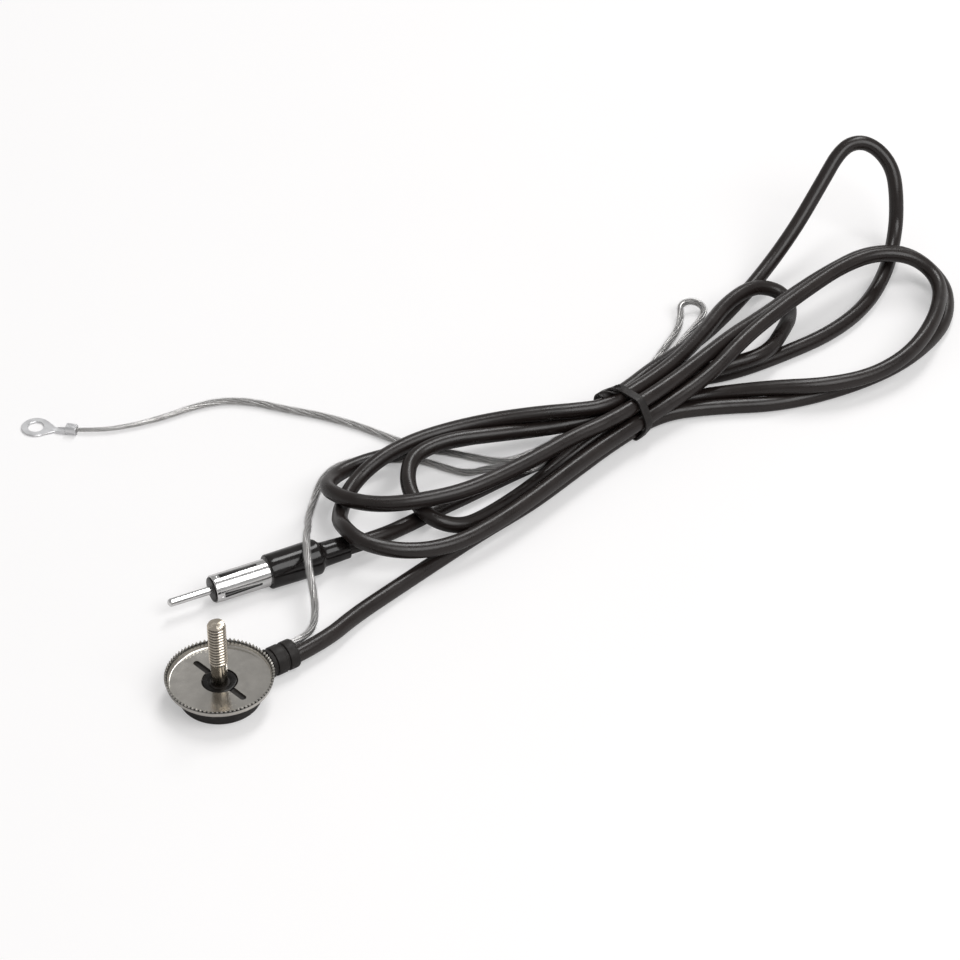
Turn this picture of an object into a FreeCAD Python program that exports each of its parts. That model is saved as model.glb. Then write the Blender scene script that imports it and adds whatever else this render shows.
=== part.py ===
import FreeCAD
import Part
import math
import os

V = FreeCAD.Vector
UP = V(0, 0, 1)

# Base moulding
BASE_TOP_RADIUS = 15.0
BASE_FOOT_RADIUS = 13.4
BASE_EDGE = 1.2
BASE_HEIGHT = 6.5
BOSS_RADIUS = 4.9
BOSS_AXIS_Z = 5.0
BOSS_START_X = 9.0
BOSS_END_X = 28.0
BOSS_EDGE = 0.6
BOSS_GROOVE_X = (18.6, 23.2)
BOSS_GROOVE_WIDTH = 1.1
BOSS_GROOVE_DEPTH = 0.55

# Cup washer
WASHER_RADIUS = 17.75
WASHER_FLARE = 0.5
WASHER_THICKNESS = 0.8
WASHER_BEND = 1.3
RIM_TIP_Z = 9.9
TOOTH_COUNT = 80
TOOTH_HEIGHT = 1.0
WASHER_HOLE_RADIUS = 5.85
SLOT_WIDTH = 2.2
SLOT_REACH = 12.4
SLOT_TURN = 9.0
WASHER_GAP = 0.3

# Stud and bush
STUD_RADIUS = 3.0
STUD_SHANK_RADIUS = 2.65
STUD_TOP_Z = 31.5
STUD_DOME = 0.5
STUD_CHAMFER = 0.5
THREAD_START_Z = 14.6
STUD_FOOT_RADIUS = 5.77
STUD_FOOT_Z = 2.6
STUD_FOOT_THICKNESS = 1.8
BUSH_CLEARANCE = 0.25
BUSH_TOP_Z = 7.1
BUSH_EDGE = 0.5

# Inner contacts
TAG_THICKNESS = 0.6
LIVE_TAG_WIDTH = 4.0
LIVE_TAG_BACK_X = -4.0
LIVE_TAG_FRONT_X = 12.0
EARTH_TAG_BACK_X = 7.6
EARTH_TAG_WIDTH = 6.4
CORE_RADIUS = 0.5
CORE_SIDES = 6

# Flat sides that stand in for a round outside
BASE_SIDES = 40
BOSS_SIDES = 24
BUSH_SIDES = 24
BOOT_SIDES = 24
INSULATOR_SIDES = 24

# Leads
COAX_DIAMETER = 5.5
EARTH_DIAMETER = 3.0
COAX_SIDES = 4
EARTH_SIDES = 4
ARC_SHARE = 0.45

# Plug
PLUG_TIP = V(6.3, 42.7, 6.2)
PLUG_TURN = -8.4
PIN_RADIUS = 1.4
PIN_LENGTH = 15.9
PIN_TAIL = 16.0
PIN_TAIL_RADIUS = 1.2
PIN_NECK = 0.6
BARREL_RADIUS = 4.75
BARREL_WALL = 0.6
BARREL_LENGTH = 19.7
BARREL_HELD = 5.4
BARREL_HELD_RADIUS = 4.5
BARREL_NECK = 0.6
BARREL_SLOTS = 4
BARREL_SLOT_START = 2.6
BARREL_SLOT_WIDTH = 0.9
BARREL_SLOT_LENGTH = 11.0
BARREL_SLOT_TURN = 45.0
INSULATOR_PROUD = 0.5
INSULATOR_NOSE_RADIUS = 4.3
INSULATOR_LENGTH = 14.0
BOOT_RADIUS = 5.9
BOOT_BACK_RADIUS = 6.1
BOOT_NECK_RADIUS = 4.2
BOOT_END_RADIUS = 3.9
BOOT_FRONT_LENGTH = 20.0
BOOT_LENGTH = 29.2
BOOT_EDGE = 1.0
BOOT_SHOULDER = 2.4

# Ring terminal
RING_CENTRE = V(20.4, 156.7, 0.0)
RING_RADIUS = 5.2
RING_HOLE_RADIUS = 2.75
RING_THICKNESS = 0.8
TONGUE_WIDTH = 2.8
TONGUE_END_WIDTH = 2.6
CRIMP_START = 11.4
CRIMP_LENGTH = 3.8
CRIMP_WALL = 0.5

# Tie
TIE_CENTRE = V(189.0, 38.0, 0.0)
TIE_TURN = 9.46
TIE_WIDTH = 3.2
TIE_THICKNESS = 0.8
TWIST_START = V(-0.5, 4.6, 17.6)
TWIST_WAY = V(-0.9, 0.42, 0.1)
TWIST_SIZE = 1.9
TWIST_STEPS = 6
TWIST_STEP = 1.5
TWIST_STEP_TURN = 24.0

# Outline of the tied bundle: across, height, and which way the band lies outside it
TIE_OUTLINE = [
    (9.4, 0.8, 0.5, -1), (11.4, 4.0, 1, -0.4), (12.0, 6.6, 1, 0), (11.5, 9.2, 0.9, 0.4), (2.3, 17.1, 0.5, 1),
    (-8.2, 17.1, -0.5, 1), (-12.1, 10.0, -1, 0.4), (-12.1, 7.6, -1, -0.4), (-9.0, 2.4, -0.9, -0.5),
    (-8.0, 0.8, -0.5, -1),
]

# Route of the coaxial lead, from the boss to the plug
BASE_TAIL = [
    (26, -1.4, 4.7), (39, -1.4, 4.7), (54, 3.6, 3.2), (72, 8, 2.8), (92, 12, 2.8), (114, 16, 2.8),
    (136, 19, 2.8), (157, 23.8, 2.8), (178, 30, 3.6),
]
FRONT_RIGHT_LOOP = [
    (202, 34, 3.6), (221, 27.9, 2.8), (242, 15, 2.8), (264, 6.5, 2.8), (288, 4, 2.8), (310, 9, 2.8),
    (327, 20, 2.8), (335.5, 36, 3.4), (331.5, 51.5, 8), (317, 58.5, 12), (298, 57, 12.6), (278, 52.5, 12.6),
    (258, 47.5, 13), (239, 41.7, 14), (220, 37, 14.5),
]
LONG_LEFT_LOOP = [
    (202, 34, 14), (178, 30, 14), (162, 30.1, 14), (146, 28.1, 14), (130, 27, 14), (114, 27, 14),
    (99, 31, 14.2), (87, 37.5, 13.6), (79, 46, 13.8), (77.5, 59, 11), (87, 68.5, 6.8), (99.5, 71, 6.1),
    (114, 68, 6.1), (130, 64, 6.1), (147, 59.1, 6), (163, 53.2, 6.3), (175.5, 44.8, 7.1),
]
RAISED_RIGHT_LOOP = [
    (199.5, 48.5, 7.1), (212, 52.3, 7), (225, 55.9, 5.6), (241, 60.6, 4), (260, 68.3, 3), (281, 76, 6),
    (300.5, 81.5, 15.5), (316.5, 86.5, 27), (329.5, 91, 36), (338, 89.5, 38), (344, 84.5, 35),
    (345.5, 77, 29), (342.5, 71, 21), (338.5, 67, 8.8), (324.5, 55, 3), (304, 42.5, 2.8), (283, 37, 2.8),
    (261, 37, 2.8), (239, 38.7, 2.8), (222, 44.3, 3.2), (211, 45.3, 6.2),
]
SHORT_LEFT_LOOP = [
    (200.5, 43, 8.8), (178.5, 39, 8.8), (168, 42.6, 8.6), (157.5, 47.4, 8.9), (143.5, 53.5, 11.5),
    (128, 58.5, 13.2), (114, 56, 12.2), (106, 47.5, 10.6), (101.5, 38, 9.6), (102, 28, 8),
    (109.5, 22.5, 4.2), (121, 22.5, 2.9), (138, 25.5, 3), (157, 30.3, 6),
]
SHORT_RIGHT_LOOP = [
    (177.5, 32.9, 8.8), (201.5, 37, 8.8), (221, 40.9, 9.5), (241, 44.6, 7.6), (258, 44.5, 3.2),
    (270, 46.5, 2.8), (277.5, 51, 2.9), (280.5, 59, 3.8), (277.5, 66.5, 6.2), (269.5, 69.5, 9.6),
    (256, 65.5, 10), (239, 55.7, 11), (220, 46, 13),
]
WIDE_LEFT_LOOP = [
    (201, 40, 14), (181, 37, 14.2), (172, 41.5, 14.6), (161.5, 49.5, 14.6), (148, 58.2, 12.8),
    (132, 64.5, 11.8), (116, 65, 11.8), (100.5, 62, 11.2), (87, 58, 7.8), (77, 50, 6.2), (70.5, 37.7, 12.8),
    (71, 25.7, 13.8), (83, 17.2, 10.8), (99, 12, 8.8), (118, 12.5, 8.8), (138, 17, 8.8), (158, 22.4, 8.8),
]
BACK_RIGHT_LOOP = [
    (178.5, 27, 8.8), (202.5, 31, 8.8), (222, 31.8, 11), (241, 35.9, 15.2), (260, 42.3, 16),
    (280, 47.2, 15.6), (299, 51.2, 15.6), (316, 51.6, 15.4), (327.5, 44.5, 13), (330, 32, 8.5),
    (319, 20.5, 5.5), (302, 13, 3), (283, 11.5, 2.8), (263, 15, 2.8), (243, 22.9, 2.8), (222, 34.3, 2.8),
]
PLUG_TAIL = [
    (201, 40, 3.6), (177, 35.9, 3.6), (158, 36.9, 2.8), (140, 37, 2.8), (122, 36, 2.8), (109, 35.7, 2.8),
    (96.5, 34.3, 3.2), (81.5, 31.6, 5.8), (67, 33.7, 6.2),
]
COAX_ROUTE = (
    BASE_TAIL + FRONT_RIGHT_LOOP + LONG_LEFT_LOOP + RAISED_RIGHT_LOOP + SHORT_LEFT_LOOP
    + SHORT_RIGHT_LOOP + WIDE_LEFT_LOOP + BACK_RIGHT_LOOP + PLUG_TAIL
)

# Route of the earth lead, from the boss through the tie and back out to the ring terminal
EARTH_ROUTE = [
    (26, 2.7, 6.2), (33.5, 2.7, 6.2), (39, 5.2, 6.8), (43.5, 11, 7.8), (46.7, 17.2, 9.9), (49.5, 23.8, 12.3),
    (53.1, 31, 14), (57.7, 38.2, 14.3), (62.8, 45, 10.4), (67.4, 53, 5.7), (73, 60, 2.8), (79, 66.5, 1.7),
    (84.5, 72, 1.6), (91.5, 76, 1.6), (100, 76, 1.6), (108, 71.5, 1.6), (115, 66.5, 1.6), (121, 61, 1.6),
    (125, 53, 1.6), (129, 47, 1.6), (133.5, 42.5, 4.4), (137, 37, 7.8), (140, 31, 8.4), (145.5, 28.6, 8.8),
    (151.5, 32, 8.9), (157, 37.3, 8), (164, 41.1, 5.6), (170, 41.3, 2.4), (176.5, 40.6, 2.4),
    (188, 42.7, 2.6), (200, 44.7, 2.3), (213, 52.2, 1.6), (226, 59.8, 1.6), (239, 66.7, 1.6),
    (250, 71.5, 1.6), (255.5, 76, 2.4), (253.5, 80.5, 4), (247.5, 81.1, 4.5), (243.5, 77.3, 3),
    (239, 72.7, 1.6), (230, 67.8, 1.6), (219, 61.1, 1.6), (209, 53.9, 2), (199.5, 48.1, 2.4),
    (188, 46.2, 2.6), (176, 43.9, 2.3), (170, 44.6, 1.9), (163, 44, 1.7), (152, 43.4, 1.6),
    (142.5, 45, 1.6), (136, 53, 1.6), (130.5, 60.5, 1.6), (124, 67, 1.6), (119, 77, 1.6), (113, 91, 1.6),
    (105.5, 103.5, 1.6), (97, 114, 1.6), (90, 124, 1.6), (81.5, 131, 1.6), (71, 133.7, 1.6),
    (59.5, 134.5, 1.6), (48, 136.8, 1.6), (37.4, 140.9, 1.6), (28.4, 147.7, 1.6),
]

# Values that follow from the sizes above
WASHER_FLOOR_Z = BASE_HEIGHT + WASHER_THICKNESS
RIM_ROOT_RADIUS = WASHER_RADIUS - WASHER_FLARE
PLUG_DIRECTION = V(math.cos(math.radians(PLUG_TURN)), math.sin(math.radians(PLUG_TURN)), 0)
BARREL_BORE = BARREL_RADIUS - BARREL_WALL
BOOT_START = PIN_LENGTH + BARREL_LENGTH
BOOT_STOP = BOOT_START + BOOT_LENGTH
LEAD_END = V(*EARTH_ROUTE[-1])
RING_AXIS = V(LEAD_END.x - RING_CENTRE.x, LEAD_END.y - RING_CENTRE.y, 0).normalize()


def turned(profile, origin, direction):
    """Round solid: (distance along, radius) pairs about an axis from origin."""
    side = UP.cross(direction)
    if side.Length < 1e-6:
        side = V(0, 1, 0)
    side.normalize()
    points = [origin + direction * along + side * radius for along, radius in profile]
    face = Part.Face(Part.makePolygon(points + points[:1]))
    return face.revolve(origin, direction, 360)


def closed_solid(faces):
    shell = Part.makeShell(faces)
    shell.sewShape()
    solid = Part.Solid(shell)
    if solid.Volume < 0:
        solid.reverse()
    return solid


def flat_face(points):
    return Part.Face(Part.makePolygon(points + points[:1]))


def circle_points(origin, direction, radius, sides):
    side = UP.cross(direction)
    if side.Length < 1e-6:
        side = V(1, 0, 0)
    side.normalize()
    top = direction.cross(side)
    points = []
    for index in range(sides):
        angle = 2 * math.pi * (index + 0.5) / sides
        points.append(origin + side * (radius * math.cos(angle)) + top * (radius * math.sin(angle)))
    return points


def faceted(stations, sides, origin, direction):
    """Many-sided solid through (distance along, radius) stations about an axis from origin."""
    rings = [circle_points(origin + direction * along, direction, radius, sides) for along, radius in stations]
    faces = [flat_face(rings[0]), flat_face(rings[-1])]
    for low, high in zip(rings, rings[1:]):
        for index in range(sides):
            after = (index + 1) % sides
            faces.append(flat_face([low[index], low[after], high[after], high[index]]))
    return closed_solid(faces)


def block(x0, y0, z0, x1, y1, z1):
    return Part.makeBox(x1 - x0, y1 - y0, z1 - z0, V(x0, y0, z0))


def route_steps(route):
    """Straight runs and tangent arcs of a route, with the radius of each arc."""
    points = [V(*point) for point in route]
    steps = []
    here = points[0]
    for before, corner, after in zip(points, points[1:], points[2:]):
        way_in = (corner - before).normalize()
        way_out = (after - corner).normalize()
        turn = way_in.getAngle(way_out)
        reach = ARC_SHARE * min((corner - before).Length, (after - corner).Length)
        radius = reach / math.tan(turn / 2)
        start = corner - way_in * reach
        inward = (way_out - way_in * way_in.dot(way_out)).normalize()
        steps.append(("run", here, start))
        steps.append(("arc", start + inward * radius, way_in.cross(way_out).normalize(), turn, radius))
        here = corner + way_out * reach
    steps.append(("run", here, points[-1]))
    return steps


def ring_moved(ring, step):
    if step[0] == "run":
        return [point + step[2] - step[1] for point in ring]
    turn = FreeCAD.Rotation(step[2], math.degrees(step[3]))
    return [step[1] + turn.multVec(point - step[1]) for point in ring]


def lead_solid(steps, ring):
    """Closed tube along runs and arcs, and the section ring at its end."""
    faces = [flat_face(ring)]
    for step in steps:
        moved = ring_moved(ring, step)
        for index in range(len(ring)):
            after = (index + 1) % len(ring)
            if step[0] == "run":
                faces.append(flat_face([ring[index], ring[after], moved[after], moved[index]]))
            else:
                edge = Part.makeLine(ring[index], ring[after])
                faces.append(edge.revolve(step[1], step[2], math.degrees(step[3])))
        ring = moved
    faces.append(flat_face(ring))
    return closed_solid(faces), ring


def steps_length(steps):
    total = 0.0
    for step in steps:
        if step[0] == "run":
            total += (step[2] - step[1]).Length
        else:
            total += step[3] * step[4]
    return total


def split_steps(steps, runs):
    """The steps in groups, parted in the middle of the runs with these numbers."""
    groups = [[]]
    for number, step in enumerate(steps):
        if number in runs:
            middle = (step[1] + step[2]) * 0.5
            groups[-1].append(("run", step[1], middle))
            groups.append([("run", middle, step[2])])
        else:
            groups[-1].append(step)
    return groups


def coax_pieces():
    """The lead in three tubes, parted on both sides of the hank, left of the tie."""
    steps = route_steps(COAX_ROUTE)
    parted = (2 * len(BASE_TAIL) - 4, 2 * (len(COAX_ROUTE) - len(PLUG_TAIL)) + 2)
    start = V(*COAX_ROUTE[0])
    ring = circle_points(start, (V(*COAX_ROUTE[1]) - start).normalize(), COAX_DIAMETER / 2, COAX_SIDES)
    solids = []
    for group in split_steps(steps, parted):
        solid, ring = lead_solid(group, ring)
        solids.append(solid)
    return steps, solids


def earth_lead():
    steps = route_steps(EARTH_ROUTE)
    start = V(*EARTH_ROUTE[0])
    way = (V(*EARTH_ROUTE[1]) - start).normalize()
    solid, ring = lead_solid(steps, circle_points(start, way, EARTH_DIAMETER / 2, EARTH_SIDES))
    return steps, solid


def threaded_stud():
    """Stud with a six-sided foot, a plain shank and the thread at its outer size."""
    foot_top = STUD_FOOT_Z + STUD_FOOT_THICKNESS
    foot = faceted([(STUD_FOOT_Z, STUD_FOOT_RADIUS), (foot_top, STUD_FOOT_RADIUS)], 6, V(0, 0, 0), UP)
    neck = STUD_RADIUS - STUD_SHANK_RADIUS
    rim = STUD_TOP_Z - STUD_DOME
    profile = [(foot_top - 0.5, 0), (foot_top - 0.5, STUD_SHANK_RADIUS), (THREAD_START_Z, STUD_SHANK_RADIUS)]
    profile += [(THREAD_START_Z + neck, STUD_RADIUS), (rim - STUD_CHAMFER, STUD_RADIUS)]
    profile += [(rim, STUD_RADIUS - STUD_CHAMFER), (STUD_TOP_Z, 0)]
    return foot.fuse(turned(profile, V(0, 0, 0), UP))


def stud_bush(stud):
    outer = WASHER_HOLE_RADIUS - BUSH_CLEARANCE
    foot_top = STUD_FOOT_Z + STUD_FOOT_THICKNESS
    stations = [(foot_top, outer), (BUSH_TOP_Z - BUSH_EDGE, outer), (BUSH_TOP_Z, outer - BUSH_EDGE)]
    return faceted(stations, BUSH_SIDES, V(0, 0, 0), UP).cut(stud)


def cup_washer():
    """Pressed cup: a flat slotted floor, a rounded bend and a flared rim of pointed teeth."""
    root_z = RIM_TIP_Z - TOOTH_HEIGHT
    bend_z = BASE_HEIGHT + WASHER_BEND
    flare = WASHER_FLARE * (root_z - bend_z) / (RIM_TIP_Z - bend_z)
    inner_radius = RIM_ROOT_RADIUS - WASHER_THICKNESS
    outside = [
        (BASE_HEIGHT, RIM_ROOT_RADIUS - WASHER_BEND), (BASE_HEIGHT + 0.35, RIM_ROOT_RADIUS - 0.3 * WASHER_BEND),
        (bend_z, RIM_ROOT_RADIUS), (root_z, RIM_ROOT_RADIUS + flare),
    ]
    inside = [
        (WASHER_FLOOR_Z, inner_radius - 0.5 * WASHER_BEND), (bend_z + 0.2, inner_radius),
        (root_z, inner_radius + flare),
    ]
    faces = []
    outer_teeth = cup_wall(outside, faces)
    inner_teeth = cup_wall(inside, faces)
    for index in range(TOOTH_COUNT):
        faces += tooth_flanks(outer_teeth, inner_teeth, index)
    hole = Part.makeCylinder(WASHER_HOLE_RADIUS, RIM_TIP_Z)
    slot = block(-SLOT_WIDTH / 2, -SLOT_REACH, 0, SLOT_WIDTH / 2, SLOT_REACH, RIM_TIP_Z)
    slot.rotate(V(0, 0, 0), UP, SLOT_TURN)
    return closed_solid(faces).cut([hole, slot])


def cup_wall(stations, faces):
    """Add a cup's floor, bend and pointed wall, and give the roots and tips of its teeth."""
    rings = [circle_points(V(0, 0, height), UP, radius, TOOTH_COUNT) for height, radius in stations]
    faces.append(flat_face(rings[0]))
    for low, high in zip(rings[:-2], rings[1:-1]):
        for index in range(TOOTH_COUNT):
            after = (index + 1) % TOOTH_COUNT
            faces.append(flat_face([low[index], low[after], high[after], high[index]]))
    wall, roots = rings[-2], rings[-1]
    rise = (RIM_TIP_Z - wall[0].z) / (roots[0].z - wall[0].z)
    tips = []
    for index in range(TOOTH_COUNT):
        after = (index + 1) % TOOTH_COUNT
        foot = (wall[index] + wall[after]) * 0.5
        tip = foot + ((roots[index] + roots[after]) * 0.5 - foot) * rise
        faces.append(flat_face([wall[index], wall[after], roots[after], tip, roots[index]]))
        tips.append(tip)
    return roots, tips


def tooth_flanks(outer, inner, index):
    """Two sloping flanks of one tooth, each in two flat triangles."""
    tip_out, tip_in = outer[1][index], inner[1][index]
    flanks = []
    for root in (index, (index + 1) % TOOTH_COUNT):
        flanks.append(flat_face([outer[0][root], tip_out, tip_in]))
        flanks.append(flat_face([outer[0][root], tip_in, inner[0][root]]))
    return flanks


def live_tag():
    y_middle = COAX_ROUTE[0][1]
    y0 = y_middle - LIVE_TAG_WIDTH / 2
    y1 = y_middle + LIVE_TAG_WIDTH / 2
    bottom = STUD_FOOT_Z - TAG_THICKNESS
    flat = block(LIVE_TAG_BACK_X, y0, bottom, LIVE_TAG_FRONT_X, y1, STUD_FOOT_Z)
    lug_x = LIVE_TAG_FRONT_X - TAG_THICKNESS
    lug = block(lug_x, y0, STUD_FOOT_Z, LIVE_TAG_FRONT_X, y1, COAX_ROUTE[0][2] + CORE_RADIUS)
    return flat.fuse(lug).removeSplitter()


def earth_tag():
    """Contact strip under the washer, out to the lead's screen and the earth lead."""
    half = EARTH_TAG_WIDTH / 2
    return block(EARTH_TAG_BACK_X, -half, BASE_HEIGHT - TAG_THICKNESS, COAX_ROUTE[0][0], half, BASE_HEIGHT)


def coax_core_end():
    start = V(LIVE_TAG_FRONT_X, COAX_ROUTE[0][1], COAX_ROUTE[0][2])
    stations = [(0, CORE_RADIUS), (COAX_ROUTE[0][0] - LIVE_TAG_FRONT_X, CORE_RADIUS)]
    return faceted(stations, CORE_SIDES, start, V(1, 0, 0))


def base_moulding(held):
    """Round moulding with the grooved cable boss, around the pieces moulded into it."""
    disc = faceted([
        (0, BASE_FOOT_RADIUS - BASE_EDGE), (BASE_EDGE * 0.7, BASE_FOOT_RADIUS),
        (BASE_HEIGHT - BASE_EDGE, BASE_TOP_RADIUS), (BASE_HEIGHT, BASE_TOP_RADIUS),
    ], BASE_SIDES, V(0, 0, 0), UP)
    stations = [(BOSS_START_X, BOSS_RADIUS)]
    for place in BOSS_GROOVE_X:
        floor = BOSS_RADIUS - BOSS_GROOVE_DEPTH
        stations += [(place, BOSS_RADIUS), (place, floor)]
        stations += [(place + BOSS_GROOVE_WIDTH, floor), (place + BOSS_GROOVE_WIDTH, BOSS_RADIUS)]
    stations += [(BOSS_END_X - BOSS_EDGE, BOSS_RADIUS), (BOSS_END_X, BOSS_RADIUS - BOSS_EDGE)]
    boss = faceted(stations, BOSS_SIDES, V(0, 0, BOSS_AXIS_Z), V(1, 0, 0))
    above = block(0, -BASE_TOP_RADIUS, BASE_HEIGHT, WASHER_RADIUS + WASHER_GAP, BASE_TOP_RADIUS, RIM_TIP_Z + 1)
    return disc.fuse(boss.cut(above)).removeSplitter().cut(held)


def plug_pin():
    dome = PIN_RADIUS * 0.6
    stop = PIN_LENGTH + PIN_TAIL
    neck = PIN_LENGTH - INSULATOR_PROUD - PIN_NECK
    profile = [(0, 0), (dome * 0.25, PIN_RADIUS * 0.6), (dome, PIN_RADIUS), (neck, PIN_RADIUS)]
    profile += [(neck, PIN_TAIL_RADIUS), (stop, PIN_TAIL_RADIUS), (stop, 0)]
    return turned(profile, PLUG_TIP, PLUG_DIRECTION)


def plug_insulator(pin):
    start = PIN_LENGTH - INSULATOR_PROUD
    stop = PIN_LENGTH + INSULATOR_LENGTH
    stations = [(start, INSULATOR_NOSE_RADIUS), (PIN_LENGTH, INSULATOR_NOSE_RADIUS)]
    stations += [(PIN_LENGTH, BARREL_BORE), (stop, BARREL_BORE)]
    return faceted(stations, INSULATOR_SIDES, PLUG_TIP, PLUG_DIRECTION).cut(pin)


def plug_barrel():
    stop = BOOT_START + BARREL_HELD
    edge = 0.4
    profile = [(PIN_LENGTH, BARREL_BORE), (PIN_LENGTH, BARREL_RADIUS - edge), (PIN_LENGTH + edge, BARREL_RADIUS)]
    neck = BOOT_START - BARREL_NECK
    profile += [(neck, BARREL_RADIUS), (neck, BARREL_HELD_RADIUS), (stop, BARREL_HELD_RADIUS), (stop, BARREL_BORE)]
    barrel = turned(profile, PLUG_TIP, PLUG_DIRECTION)
    slots = []
    for index in range(BARREL_SLOTS):
        half = BARREL_SLOT_WIDTH / 2
        start = PIN_LENGTH + BARREL_SLOT_START
        slot = block(start, -half, 1, start + BARREL_SLOT_LENGTH, half, BARREL_RADIUS + 1)
        slot.rotate(V(0, 0, 0), V(1, 0, 0), BARREL_SLOT_TURN + 360 / BARREL_SLOTS * index)
        slot.rotate(V(0, 0, 0), UP, PLUG_TURN)
        slot.translate(PLUG_TIP)
        slots.append(slot)
    return barrel.cut(slots)


def plug_boot(held):
    """Boot with a fat front, a shoulder and a thinner tail, over the barrel and the lead's end."""
    shoulder = BOOT_START + BOOT_FRONT_LENGTH
    stations = [(BOOT_START, BOOT_RADIUS - BOOT_EDGE * 0.6), (BOOT_START + BOOT_EDGE, BOOT_RADIUS)]
    stations += [(shoulder - BOOT_SHOULDER, BOOT_BACK_RADIUS)]
    stations += [(shoulder - BOOT_SHOULDER * 0.4, BOOT_BACK_RADIUS - 0.4)]
    stations += [(shoulder, BOOT_NECK_RADIUS), (BOOT_STOP - 0.4, BOOT_END_RADIUS), (BOOT_STOP, BOOT_END_RADIUS - 0.4)]
    barrel_room = Part.makeCylinder(
        BARREL_HELD_RADIUS, BARREL_HELD, PLUG_TIP + PLUG_DIRECTION * BOOT_START, PLUG_DIRECTION)
    return faceted(stations, BOOT_SIDES, PLUG_TIP, PLUG_DIRECTION).cut([barrel_room] + held)


def plug_core_wire(ends):
    start = PLUG_TIP + PLUG_DIRECTION * (PIN_LENGTH + PIN_TAIL)
    way = V(*COAX_ROUTE[-1]) - start
    stations = [(0, CORE_RADIUS), (way.Length, CORE_RADIUS)]
    return faceted(stations, CORE_SIDES, start, way.normalize()).cut(ends)


def ring_terminal(lead):
    """Stamped ring with a tapering tongue and a crimp around the lead's end."""
    side = UP.cross(RING_AXIS)
    ring = Part.makeCylinder(RING_RADIUS, RING_THICKNESS, RING_CENTRE, UP)
    half = TONGUE_WIDTH / 2
    half_end = TONGUE_END_WIDTH / 2
    stop = CRIMP_START + CRIMP_LENGTH
    corners = [
        RING_CENTRE + side * (RING_RADIUS * 0.86) + RING_AXIS * (RING_RADIUS * 0.5),
        RING_CENTRE + side * half + RING_AXIS * (RING_RADIUS * 1.5),
        RING_CENTRE + side * half_end + RING_AXIS * CRIMP_START,
        RING_CENTRE + side * half_end + RING_AXIS * stop,
        RING_CENTRE - side * half_end + RING_AXIS * stop,
        RING_CENTRE - side * half_end + RING_AXIS * CRIMP_START,
        RING_CENTRE - side * half + RING_AXIS * (RING_RADIUS * 1.5),
        RING_CENTRE - side * (RING_RADIUS * 0.86) + RING_AXIS * (RING_RADIUS * 0.5),
    ]
    tongue = Part.Face(Part.makePolygon(corners + corners[:1])).extrude(UP * RING_THICKNESS)
    crimp_radius = EARTH_DIAMETER / 2 + CRIMP_WALL
    crimp_start = V(RING_CENTRE.x, RING_CENTRE.y, LEAD_END.z + 0.1) + RING_AXIS * CRIMP_START
    crimp = Part.makeCylinder(crimp_radius, CRIMP_LENGTH, crimp_start, RING_AXIS)
    reach = 2 * stop
    below = block(-reach, -reach, -reach, reach, reach, 0)
    below.translate(RING_CENTRE)
    hole = Part.makeCylinder(RING_HOLE_RADIUS, 4, RING_CENTRE - UP, UP)
    return ring.fuse([tongue, crimp]).removeSplitter().cut([below, hole, lead])


def tie_loop(grow):
    """Outline of the band around the tied bundle, as a closed wire across the tie."""
    points = [
        V(0, across + grow * side, max(height + grow * rise, 0)) for across, height, side, rise in TIE_OUTLINE
    ]
    return Part.makePolygon(points + points[:1])


def twist_tie():
    """Flat band around the bundle, its two ends twisted together at the back."""
    band = Part.Face(tie_loop(TIE_THICKNESS)).cut(Part.Face(tie_loop(0.0))).extrude(V(TIE_WIDTH, 0, 0))
    band.translate(V(-TIE_WIDTH / 2, 0, 0))
    twists = []
    for index in range(TWIST_STEPS):
        half = TWIST_SIZE / 2
        bit = block(-half, -half, index * TWIST_STEP, half, half, (index + 1) * TWIST_STEP)
        bit.rotate(V(0, 0, 0), UP, TWIST_STEP_TURN * index)
        twists.append(bit)
    twist = twists[0].fuse(twists[1:])
    twist.Placement = FreeCAD.Placement(TWIST_START, FreeCAD.Rotation(UP, TWIST_WAY))
    tie = band.fuse(twist)
    tie.rotate(V(0, 0, 0), UP, TIE_TURN)
    tie.translate(TIE_CENTRE)
    return tie


def report_lead(name, steps, diameter, sides, solids):
    length = steps_length(steps)
    section = sides / 8 * diameter ** 2 * math.sin(2 * math.pi / sides)
    radii = sorted(round(step[4], 1) for step in steps if step[0] == "arc")
    volume = sum(solid.Volume for solid in solids)
    print(name, "length", round(length), "smallest radii", radii[:8])
    print(name, "volume over section times length", round(volume / (section * length), 4))


def build():
    coax_steps, coax_solids = coax_pieces()
    coax_base_tail, coax_hank, coax_plug_tail = coax_solids
    earth_steps, earth = earth_lead()
    report_lead("coax", coax_steps, COAX_DIAMETER, COAX_SIDES, coax_solids)
    report_lead("earth lead", earth_steps, EARTH_DIAMETER, EARTH_SIDES, [earth])
    stud = threaded_stud()
    bush = stud_bush(stud)
    live = live_tag()
    ground = earth_tag()
    core_end = coax_core_end()
    pin = plug_pin()
    core_wire = plug_core_wire([pin, coax_plug_tail])
    held = [stud, bush, live, ground, core_end, coax_base_tail, earth]
    return {
        "base_moulding": base_moulding(held),
        "cup_washer": cup_washer(),
        "stud_bush": bush,
        "threaded_stud": stud,
        "live_tag": live,
        "earth_tag": ground,
        "coax_core_end": core_end,
        "coax_base_tail": coax_base_tail,
        "coax_hank": coax_hank,
        "coax_plug_tail": coax_plug_tail,
        "earth_lead": earth,
        "plug_pin": pin,
        "plug_insulator": plug_insulator(pin),
        "plug_barrel": plug_barrel(),
        "plug_boot": plug_boot([coax_plug_tail, core_wire]),
        "plug_core_wire": core_wire,
        "ring_terminal": ring_terminal(earth),
        "twist_tie": twist_tie(),
    }


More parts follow.
